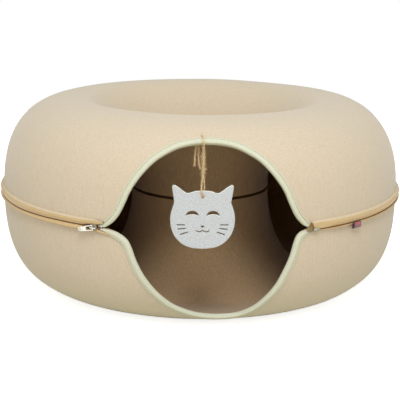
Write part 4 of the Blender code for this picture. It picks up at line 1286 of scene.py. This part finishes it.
pull_side = [(PULL_BAR / 2, PULL_HALF_WIDTH - PULL_CORNER)]
pull_side += arc((PULL_BAR / 2 - PULL_CORNER, PULL_HALF_WIDTH - PULL_CORNER), PULL_CORNER, 0, 90, 3)
pull_side += [(-PULL_WINDOW - 0.0006, PULL_HALF_WIDTH)]
pull_side += arc((PULL_END - PULL_LENGTH, 0), PULL_END, 95, 180, 6)
pull_outside = pull_side + [(x, -y) for x, y in pull_side[-2::-1]]
window = rounded(PULL_WINDOW / 2, PULL_WINDOW_HALF, 0.0010, -(PULL_BAR + PULL_WINDOW) / 2)
end_hole = arc((PULL_END - PULL_LENGTH, 0), PULL_END_HOLE, 0, 360, 12)[:-1]
metal_piece("pull", "zip_pull", "pull_tab", ZIP_METAL, [
    ([pull_outside, window, end_hole], 0.0011, 0.0003,
     on_slider(PULL_AXIS) @ Matrix.Rotation(-PULL_DROOP, 4, "Y")),
])

# %% Box, pin and stops
BOX_HALF = 0.0044
BOX_DROP = 0.0040
BOX_MIDDLE = 0.0007 - BOX_DROP / 2
STOP_ANGLE = -TAPE_ANGLE - 0.0014 / FELT_RADIUS
STOP_HEIGHT = 0.0019


def on_box(radius, height=0.0):
    return zip_place(BOX_ANGLE, radius, height)


metal_piece("zip_box", "lower_half", "zip_retaining_box", BOX_METAL, [
    ([rounded(BOX_HALF, BOX_DROP / 2, 0.0012)], 0.0011, 0.00045, on_box(0.30025, BOX_MIDDLE)),
    ([rounded(BOX_HALF, 0.00025, 0.0001)], 0.0026, 0.0001, on_box(0.2989)),
    ([rounded(BOX_HALF, BOX_DROP / 2 - 0.0001, 0.0006)], 0.0013, 0.0003,
     on_box(0.29785, BOX_MIDDLE)),
    ([rounded(0.0026, 0.0005, 0.0004)], 0.0006, 0.0002, on_box(0.3008, -0.0019)),
])
metal_piece("zip_pin", "upper_half", "zip_insertion_pin", ZIP_METAL, [
    ([rounded(BOX_HALF, 0.00095, 0.0004)], 0.0012, 0.0003, on_box(0.2979, 0.00155)),
])
for which, side in (("upper", 1), ("lower", -1)):
    metal_piece(which + "_stop", which + "_half", which + "_top_stop", ZIP_METAL, [
        ([rounded(0.0008, 0.0012, 0.0004)], 0.0013, 0.0003,
         zip_place(STOP_ANGLE, 0.29785, side * STOP_HEIGHT)),
    ])

# %% [markdown]
# ## Touch strips
# Round the centre hole the halves close with hook and loop strips. The hooks
# are glued inside the upper edge and the loops outside the lower lip. Both are
# pile, so the surface is rough and never flat.

# %% Touch strips
STRIP_STEPS = 180
STRIP_THICKNESS = 0.0009
PILE_HEIGHT = 0.00015


def touch_strip(name, radius, outward, body, node):
    thick = radius + outward * STRIP_THICKNESS
    section = [(radius, 0.0015), (thick, 0.0019), (thick, 0.0101), (radius, 0.0105)]
    rows = [[ring_point(math.tau * i / STRIP_STEPS,
                        r + outward * PILE_HEIGHT * math.sin(i * 2.4 + h * 900), h)
             for r, h in section] for i in range(STRIP_STEPS)]
    add_piece(name, loft(name, rows, closed_path=True), (TOUCH_STRIP,), body,
              (node,))


touch_strip("hook_strip", 0.0990, -1, "upper_half", "inner_hook_strip")
touch_strip("loop_strip", 0.0969, 1, "lower_half", "inner_loop_strip")
print("touch strips laid")

# %% [markdown]
# ## Side label
# A short ribbon, folded once and caught in the lower margin of the zip. The
# fold bulges, and the loose end of the ribbon curls a little. It carries a
# plain stripe only.

# %% Side label
LABEL_HALF = 0.0089
LABEL_TOP = 0.0022
LABEL_DROP = 0.0080
LABEL_THICKNESS = 0.0003
LABEL_FRONT = 0.3012
LABEL_BACK = 0.2999
LABEL_DEPTHS = [LABEL_DROP * share for share in (0.0, 0.1, 0.2, 0.35, 0.525, 0.6, 0.8, 0.94)]
LABEL_EDGE = 0.0004
STRIPE = (0.0004, 0.0042)
STRIPE_SPAN = (-0.4, 0.8)
FIELD_LEFT, FIELD_FOOT = -0.62, 0.88


def inner_face(path, lift):
    return [(radius + lift, min(d, LABEL_DROP - LABEL_EDGE)) for radius, d in path[::-1]]


def label_rows():
    rows = []
    for x in even_turns(-LABEL_HALF, LABEL_HALF, 16):
        wave = 0.0003 * math.sin(x * 420)
        front = [(LABEL_FRONT + wave * d / 0.01 + 0.0003 * math.sin(d * 300), d)
                 for d in LABEL_DEPTHS]
        fold = [(0.3008 + wave, LABEL_DROP), (0.3003 + wave, LABEL_DROP)]
        back = [(LABEL_BACK + wave * d / 0.01, d) for d in LABEL_DEPTHS[::-1]]
        section = (front + fold + back + inner_face(back, LABEL_THICKNESS)
                   + inner_face(front, -LABEL_THICKNESS))
        rows.append([zip_place(LABEL_ANGLE, radius, -LABEL_TOP - down) @ Vector((x, 0, 0))
                     for radius, down in section])
    return rows


label = add_piece("side_ribbon", loft("side_ribbon", label_rows()),
                  (LABEL_CLOTH, LABEL_STRIPE, LABEL_FIELD), "lower_half",
                  ("side_label",))
label_turn = Matrix.Rotation(-LABEL_ANGLE, 4, "Z")
for face in label.data.polygons:
    across = (label_turn @ (face.center - RING)).x / LABEL_HALF
    down = RING.z - LABEL_TOP - face.center.z
    if across < FIELD_LEFT or down > LABEL_DROP * FIELD_FOOT:
        continue
    in_stripe = STRIPE[0] < down < STRIPE[1] and STRIPE_SPAN[0] < across < STRIPE_SPAN[1]
    face.material_index = 1 if in_stripe else 2
print("label folded")

# %% [markdown]
# ## The twine
# The cat hangs on jute. One piece of it goes through the cat, up over the
# binding, in through a punched hole in the felt, and is knotted inside with
# both ends left long. Where it is doubled, the strands are twisted together.
# Each strand is plied from thinner ones, and loose fibres stand off it.

# %% Strands
TWINE_DIAMETER = 0.0017
PLY_PITCH = 0.0055
PLIES = 3
PLY_SHARE, PLY_SWELL = 0.27, 1.12
FIBRE_RADIUS = 0.00018
FIBRE_ROOT = 0.4
HANG_EDGE = RING + felt_point(-0.0055, ENTRANCE_RISE)
fibre_draw = random.Random(7)


def frames_along(path):
    """A square pair of directions at each point that turns as little as it can."""
    first = across_path(path, 0)[0]
    pairs = []
    for i in range(len(path)):
        along = along_path(path, i)
        first = (first - along * first.dot(along)).normalized()
        pairs.append((first, along.cross(first).normalized()))
    return pairs


def wound(path, distance, turns, start):
    """A path wound round another one."""
    last = len(path) - 1
    return [path[i] + turned_from(pair, start + math.tau * turns * i / last) * distance
            for i, pair in enumerate(frames_along(path))]


def add_tube(bm, path, radius, sides, taper=0.0):
    last = len(path) - 1
    add_loft(bm, [round_row(path[i], pair, radius * (1 - taper * i / last), sides)
                  for i, pair in enumerate(frames_along(path))])


def add_strand(bm, path, diameter=TWINE_DIAMETER):
    """A twine of plies wound together, as wide as the diameter."""
    ply = diameter * PLY_SHARE
    for n in range(PLIES):
        turned = wound(path, diameter / 2 - ply, path_length(path) / PLY_PITCH,
                       math.tau * n / PLIES)
        add_tube(bm, turned, ply * PLY_SWELL, 6)


def add_fibres(bm, path, count, reach, stand):
    """Loose fibres that leave a strand at a shallow angle and curl away."""
    pairs = frames_along(path)
    for _ in range(count):
        i = fibre_draw.randrange(len(path) - 1)
        first, second = pairs[i]
        out = turned_from(pairs[i], fibre_draw.uniform(0, math.tau))
        along = (path[i + 1] - path[i]).normalized() * fibre_draw.choice((-1, 1))
        length = reach * fibre_draw.uniform(0.35, 1.0)
        lift = stand * fibre_draw.uniform(0.2, 1.0)
        curl = first * fibre_draw.uniform(-1, 1) + second * fibre_draw.uniform(-1, 1)
        start = path[i] + out * TWINE_DIAMETER * FIBRE_ROOT
        points = [start + along * length * t + out * lift * t ** 1.5 + curl * lift * 0.5 * t * t
                  for t in (0, 0.35, 0.7, 1.0)]
        add_tube(bm, points, FIBRE_RADIUS, 3, taper=0.6)


def jute_piece(name, bm, body, nodes=(), finish=JUTE):
    return add_piece(name, finished_mesh(name, bm, 60), (finish,), body, nodes)


def twine(name, paths, body, node, fibres, reach=0.005, stand=0.0024, width=TWINE_DIAMETER):
    """Strands along one or more paths, and their loose fibres as a second piece."""
    strands, fuzz = bmesh.new(), bmesh.new()
    for path in paths:
        add_strand(strands, path, width)
        add_fibres(fuzz, path, fibres, reach, stand)
    return [jute_piece(name, strands, body, (node,)),
            jute_piece(name + "_fuzz", fuzz, body, (), LIT_JUTE_FUZZ)]


print("twine of", PLIES, "plies,", TWINE_DIAMETER, "across")


# %% Hitch over the edge
# Each path is given from the felt's edge above the toy.
HITCH_PATHS = {
    "twine_over_edge": [
        (0.0, -0.0015, -0.0141), (0.0002, -0.0023, -0.0096), (0.0004, -0.0032, -0.0041),
        (0.0003, -0.0033, -0.0001), (-0.0005, -0.0001, 0.0041), (-0.0013, 0.0044, 0.0071),
        (-0.0019, 0.0081, 0.0076), (-0.0019, 0.0099, 0.0046), (-0.0020, 0.0115, 0.0016),
        (-0.0044, 0.0119, -0.0024)],
    "twine_inside": [
        (-0.0045, 0.0098, -0.0059), (-0.0025, 0.0070, -0.0074), (-0.0007, 0.0032, -0.0090),
        (0.0, 0.0005, -0.0120), (0.0, 0.0005, -0.0141)],
    "twine_long_end": [
        (-0.0054, 0.0120, -0.0060), (-0.0057, 0.0118, -0.0126), (-0.0062, 0.0118, -0.0206),
        (-0.0052, 0.0120, -0.0296), (-0.0040, 0.0121, -0.0360)],
    "twine_short_end": [
        (-0.0070, 0.0120, -0.0055), (-0.0091, 0.0118, -0.0116), (-0.0105, 0.0117, -0.0196),
        (-0.0108, 0.0120, -0.0316)],
}
HITCH_NODES = [("twine_hitch_outer", 70), ("twine_hitch_inner", 20), ("twine_tail_long", 90),
               ("twine_tail_short", 90)]
KNOT_PLACE = Vector((-0.0060, 0.0120, -0.0048))
KNOT_STEPS = 48
BRUSH_FIBRES = 46
BRUSH_RADIUS = 0.00013

hitch = {name: smooth_through([HANG_EDGE + Vector(p) for p in points], 8)
         for name, points in HITCH_PATHS.items()}
over_edge, inside, long_end, short_end = [
    twine(name, [path], "upper_half", node, fibres)
    for (name, path), (node, fibres) in zip(hitch.items(), HITCH_NODES)]


def frayed(name, path):
    """The brush of loose plies at a cut end."""
    bm = bmesh.new()
    along = (path[-1] - path[-4]).normalized()
    pair = frames_along(path)[-1]
    for _ in range(BRUSH_FIBRES):
        out = turned_from(pair, fibre_draw.uniform(0, math.tau))
        splay = fibre_draw.uniform(0.0, 0.0016)
        length = fibre_draw.uniform(0.002, 0.0052)
        start = path[-1] - along * 0.003 + out * 0.0005
        points = [start + along * length * t * 1.4 + out * splay * t ** 1.3
                  for t in (0, 0.4, 0.7, 1)]
        add_tube(bm, points, BRUSH_RADIUS, 3, taper=0.5)
    jute_piece(name, bm, "upper_half", (), LIT_JUTE_FUZZ)


frayed("twine_long_brush", hitch["twine_long_end"])
frayed("twine_short_brush", hitch["twine_short_end"])

knot_path = []
for t in even_turns(0, math.tau, KNOT_STEPS):
    radius = 0.0015 + 0.0005 * math.cos(3 * t)
    knot_path.append(HANG_EDGE + KNOT_PLACE + Vector((
        radius * math.cos(2 * t), 0.0009 * math.sin(3 * t), radius * math.sin(2 * t) * 1.1)))
knot_bm = bmesh.new()
add_strand(knot_bm, knot_path)
knot = jute_piece("twine_overhand_knot", knot_bm, "upper_half", ("twine_knot",))

print("twine paths:", {name: round(path_length(path), 4) for name, path in hitch.items()})

# %% Doubled drop
SWING = HANG_EDGE + Vector((0, -0.0005, -0.0141))
SWAY = SWING + Vector((0, 0, -0.0145))
TWIST = SWAY + Vector((0, 0, -0.0150))
TOY_HOLE = TWIST + Vector((0, 0, -0.0281))
TOY_HOLE_RADIUS = 0.0019
DOUBLE_PITCH = 0.0105
DOUBLE_STEPS = 24
DOUBLE_APART, DOUBLE_SQUEEZE = 0.44, 0.95
DROP_FUZZ = (60, 0.007, 0.0036)
LOOP_FUZZ = (130, 0.007, 0.0030)


def doubled(name, top, bottom, body, node, start):
    """Two strands twisted round each other on a straight drop."""
    middle = [top.lerp(bottom, i / DOUBLE_STEPS) for i in range(DOUBLE_STEPS + 1)]
    turns = (top - bottom).length / DOUBLE_PITCH
    paths = [wound(middle, TWINE_DIAMETER * DOUBLE_APART, turns, start + half)
             for half in (0, math.pi)]
    pieces = twine(name, paths, body, node, *DROP_FUZZ, TWINE_DIAMETER * DOUBLE_SQUEEZE)
    return start + math.tau * turns, pieces


turn, top_drop = doubled("twine_doubled_top", SWING, SWAY, "twine_upper", "twine_drop_upper",
                         math.pi / 2)
turn, bottom_drop = doubled("twine_doubled_bottom", SWAY, TWIST, "twine_lower",
                            "twine_drop_lower", turn)
print("twisted", round(math.degrees(turn)), "degrees on the way down")

# %% Loop through the toy
# The loop's front half, as an X, a Y and a share of the way down to the hole.
# Its back half is the same one turned round.
FRONT = [(-0.00081, -0.00195, 0.10), (-0.0018, -0.00234, 0.45), (-0.00189, -0.002392, 0.78),
         (-0.00135, -0.002132, 0.94)]
HOLE_CREST = TOY_HOLE.z - TWIST.z + TOY_HOLE_RADIUS - 0.0006

front = [Vector((x, y, share * HOLE_CREST)) for x, y, share in FRONT]
back = [Vector((-p.x, -p.y, p.z)) for p in front[::-1]]
through = [Vector((-0.0003, -0.0013, HOLE_CREST - 0.0001)), Vector((0, 0.0002, HOLE_CREST))]
loop_path = smooth_through(
    [TWIST + p for p in [Vector()] + front + through + back + [Vector()]], 8)
loop, loop_hair = twine("twine_through_toy", [loop_path], "hanging_toy", "twine_loop",
                        *LOOP_FUZZ)
print("twine hangs to", tuple(round(v, 4) for v in TOY_HOLE))

# %% [markdown]
# ## The cat
# The head is pressed out of a sheet of grey felt with a steel-rule die, so its
# edges are cut square and show the paler core of the felt. The face is cut
# right through. Short fibres stand off the outline.

# %% Cat's outline
TOY_HALF_WIDTH = 0.042
TOY_BELOW_HOLE = 0.0703
TOY_ABOVE_HOLE = 0.0147
TOY_THICKNESS = 0.003
TOY_OUTLINE_SHARES = [
    (0.0, 0.52), (0.24, 0.47), (0.47, 0.29), (0.60, 0.48), (0.74, 0.80), (0.855, 0.99),
    (0.915, 1.0), (0.945, 0.86), (0.93, 0.45), (0.90, -0.02), (0.88, -0.12),
    (0.93, -0.21), (0.985, -0.33), (1.0, -0.45), (0.975, -0.59), (0.89, -0.73),
    (0.74, -0.85), (0.55, -0.935), (0.30, -0.985), (0.0, -1.0),
]
EYE = (0.0136, -0.0258)
EYE_TOP, EYE_BOTTOM = (0.0082, 0.0066), (0.0076, 0.0022)
NOSE, NOSE_SIZE = (0, -0.0403), (0.0021, 0.0014)
MOUTH_HALF = 0.0086
MOUTH_HEIGHT = -0.0455
MOUTH_BEND = 0.0019
MOUTH_SHARES = [(0.0, 0.2), (0.22, -0.7), (0.52, -1.0), (0.82, -0.6), (1.0, 0.0)]
WHISKER_LENGTH = 0.0106
WHISKER_START = (0.0220, -0.0380)
WHISKER_SPACING = 0.0049
WHISKERS = [(0, 0.10), (5, 0.0), (18, -0.28)]
SLIT_WIDTH = 0.0013


def flat_curve(points, spans):
    return [(p.x, p.y) for p in smooth_through([(x, y, 0) for x, y in points], spans)]


def mouth_outline():
    middle = flat_curve([(x * MOUTH_HALF, MOUTH_HEIGHT + y * MOUTH_BEND)
                         for x, y in MOUTH_SHARES], 3)
    top = [(x, y + SLIT_WIDTH / 2) for x, y in middle]
    bottom = [(x, y - SLIT_WIDTH / 2) for x, y in middle]
    return mirrored(top)[:-1] + top + bottom[::-1] + mirrored(bottom[::-1])[1:]


def whisker_outline(row):
    """A straight slit, from a tilt in degrees and an inset in its own lengths."""
    degrees, inset = WHISKERS[row]
    tilt = math.radians(degrees)
    start = Vector(WHISKER_START) + Vector((inset * WHISKER_LENGTH, -row * WHISKER_SPACING))
    along = Vector((math.cos(tilt), -math.sin(tilt)))
    square = Vector((-along.y, along.x)) * SLIT_WIDTH / 2
    end = start + along * WHISKER_LENGTH
    return [tuple(p) for p in (start + square, start - square, end - square, end + square)]


half_cat = flat_curve([(x * TOY_HALF_WIDTH, y * (TOY_ABOVE_HOLE if y > 0 else TOY_BELOW_HOLE))
                       for x, y in TOY_OUTLINE_SHARES], 5)
CAT_OUTLINE = half_cat + mirrored(half_cat)[1:-1]
eye = oval(EYE, *EYE_TOP, 0, 180, 14) + oval(EYE, *EYE_BOTTOM, 180, 0, 12)
outlines = [CAT_OUTLINE, arc((0, 0), TOY_HOLE_RADIUS, 0, 360, 16)[:-1], eye, mirrored(eye),
            oval(NOSE, *NOSE_SIZE, 0, 360, 14)[:-1], mouth_outline()]
for row in range(len(WHISKERS)):
    outlines += [whisker_outline(row), mirrored(whisker_outline(row))]
print("cat outlines:", len(outlines))

# %% Cat toy
CUT_ROUNDING = 0.0007
OUTLINE_REACH = 0.0016
EYES_ABOVE = -0.033
FUZZ_RADIUS = 0.00005


def flat_area(rings):
    """The felt's area: the first outline less the holes cut in it."""
    areas = []
    for ring in rings:
        pairs = zip(ring, list(ring[1:]) + [ring[0]])
        areas.append(abs(sum(a[0] * b[1] - b[0] * a[1] for a, b in pairs)) / 2)
    return areas[0] - sum(areas[1:])


def cat_finish(face):
    """0 for the grey faces, 1 for the cream cut edge and for the eyes' lower rims,
    where cream on faces that look up is painted light, 2 for the walls of the
    slits in painted shade."""
    place = face.center - TOY_HOLE
    if abs(face.normal.y) > 0.95:
        return 0
    if min((Vector((x, 0, z)) - place * Vector((1, 0, 1))).length
           for x, z in CAT_OUTLINE) < OUTLINE_REACH:
        return 1
    if face.normal.y < -0.2:
        # Painted light: the eyes' bevels that look up take the cream.
        return 1 if place.z > EYES_ABOVE and face.normal.z > 0.3 else 0
    return 2


cat_bm = pressed(outlines, TOY_THICKNESS, CUT_ROUNDING, Matrix.Translation(TOY_HOLE), 0)
cat = add_piece("cat_head", finished_mesh("cat_head", cat_bm, 30),
                (GREY_FELT, CUT_FELT, SHADED_CUT), "hanging_toy", ("cat_toy",))
flat_area(outlines)
for face in cat.data.polygons:
    face.material_index = cat_finish(face)

fuzz_bm = bmesh.new()
for a, b in zip(CAT_OUTLINE, CAT_OUTLINE[1:] + CAT_OUTLINE[:1]):
    a, b = Vector(a), Vector(b)
    away = Vector((a.y - b.y, 0, b.x - a.x)).normalized()
    for _ in range(3):
        spot = a.lerp(b, fibre_draw.random())
        depth = fibre_draw.uniform(-0.0014, 0.0014)
        length = fibre_draw.uniform(0.0003, 0.0012)
        lean = fibre_draw.uniform(-0.8, 0.8) * length
        start = TOY_HOLE + Vector((spot.x, depth, spot.y))
        out = away * length + Vector((lean, lean * 0.5, -lean))
        add_tube(fuzz_bm, [start, start + out * 0.6, start + out], FUZZ_RADIUS, 3, taper=0.5)
add_piece("cat_head_fuzz", finished_mesh("cat_head_fuzz", fuzz_bm), (CUT_FELT,),
          "hanging_toy")
print("cat head cut out")

# %% [markdown]
# ## Floor, light and camera
# The photograph was taken on white paper with soft light from all round. The
# floor is white where the camera sees it and keeps the soft shadow under the
# ring.

# %% Floor
FLOOR_RADIUS = 1.6
PAPER_GLOW = 0.8


def seen_directly(tree):
    """1 for what the camera sees itself, in a mirror or through something."""
    rays = add_node(tree, "LightPath").outputs
    seen = add_math(tree, "MAXIMUM", rays["Is Camera Ray"], rays["Is Glossy Ray"])
    return add_math(tree, "MAXIMUM", seen, rays["Is Transmission Ray"])


def floor_finish():
    """White paper: to the camera it glows a little, so that only the shadow
    right under the ring shows on it."""
    mat = bpy.data.materials.new("white_paper")
    mat.use_nodes = True
    glow = times(mat.node_tree, seen_directly(mat.node_tree), PAPER_GLOW)
    finish_shader(mat.node_tree, Base_Color=(0.84, 0.81, 0.74, 1), Roughness=0.9,
                  Specular_IOR_Level=0.0, Emission_Color=(1, 1, 1, 1), Emission_Strength=glow)
    return mat


floor_bm = bmesh.new()
bmesh.ops.create_circle(floor_bm, cap_ends=True, segments=64, radius=FLOOR_RADIUS)
floor = add_object("floor", finished_mesh("floor", floor_bm))
floor.data.materials.append(floor_finish())
print("floor laid")

# %% Light
LIT_PLACE = Vector((0, 0, 0.15))
ROOM_STRENGTH = 0.72
ROOM_BELOW = (1.0, 0.96, 0.88, 1)
ROOM_ABOVE = (0.71, 0.85, 0.97, 1)


def soft_lamp(name, place, size, power, colour):
    data = bpy.data.lights.new(name, "AREA")
    data.shape = "DISK"
    data.size = size
    data.energy = power
    data.color = colour
    lamp = add_object(name, data)
    lamp.location = place
    lamp.rotation_euler = (LIT_PLACE - Vector(place)).to_track_quat("-Z", "Y").to_euler()


soft_lamp("key_light", (0.0, -1.3, 1.65), 0.9, 21.5, (0.87, 0.92, 1.0))
soft_lamp("low_light", (0.1, -2.3, 0.45), 1.4, 0.4, (1.0, 0.95, 0.86))

world = bpy.data.worlds.new("white_room")
bpy.context.scene.world = world
world.use_nodes = True
tree = world.node_tree
way_up = add_separate(tree, add_node(tree, "TexCoord").outputs["Generated"])["Z"]
room = tree.nodes["Background"]
room.inputs["Strength"].default_value = ROOM_STRENGTH
tree.links.new(mix_colours(tree, way_up, ROOM_BELOW, ROOM_ABOVE, -0.3, 0.8), room.inputs["Color"])
white = add_node(tree, "Background", {"Color": (1, 1, 1, 1), "Strength": 1.0})
choose = add_node(tree, "MixShader", {0: seen_directly(tree), 1: room.outputs[0],
                                      2: white.outputs[0]})
tree.links.new(choose.outputs[0], tree.nodes["World Output"].inputs["Surface"])
bpy.context.scene.view_settings.view_transform = "Standard"
print("lit by", len(bpy.data.lights), "lamps and a white room")

# %% Camera
PICTURE = 400
AXIS_ROW = 182.6
CAMERA_DISTANCE = 1.668
CAMERA_AZIMUTH = math.radians(-2.1)
CAMERA_ELEVATION = math.radians(12.95)
CAMERA_ROLL = 0.0125
CAMERA_LENS = 97.85

towards = Vector((math.sin(CAMERA_AZIMUTH) * math.cos(CAMERA_ELEVATION),
                  -math.cos(CAMERA_AZIMUTH) * math.cos(CAMERA_ELEVATION),
                  math.sin(CAMERA_ELEVATION)))
camera_data = bpy.data.cameras.new("camera")
camera_data.sensor_width = 36
camera_data.lens = CAMERA_LENS
camera_data.shift_y = (AXIS_ROW - PICTURE / 2) / PICTURE
camera = add_object("camera", camera_data)
camera.location = RING + towards * CAMERA_DISTANCE
camera.rotation_mode = "QUATERNION"
roll = Quaternion((0, 0, 1), CAMERA_ROLL)
camera.rotation_quaternion = (-towards).to_track_quat("-Z", "Y") @ roll
bpy.context.scene.camera = camera
print("camera at", tuple(round(v, 3) for v in camera.location))
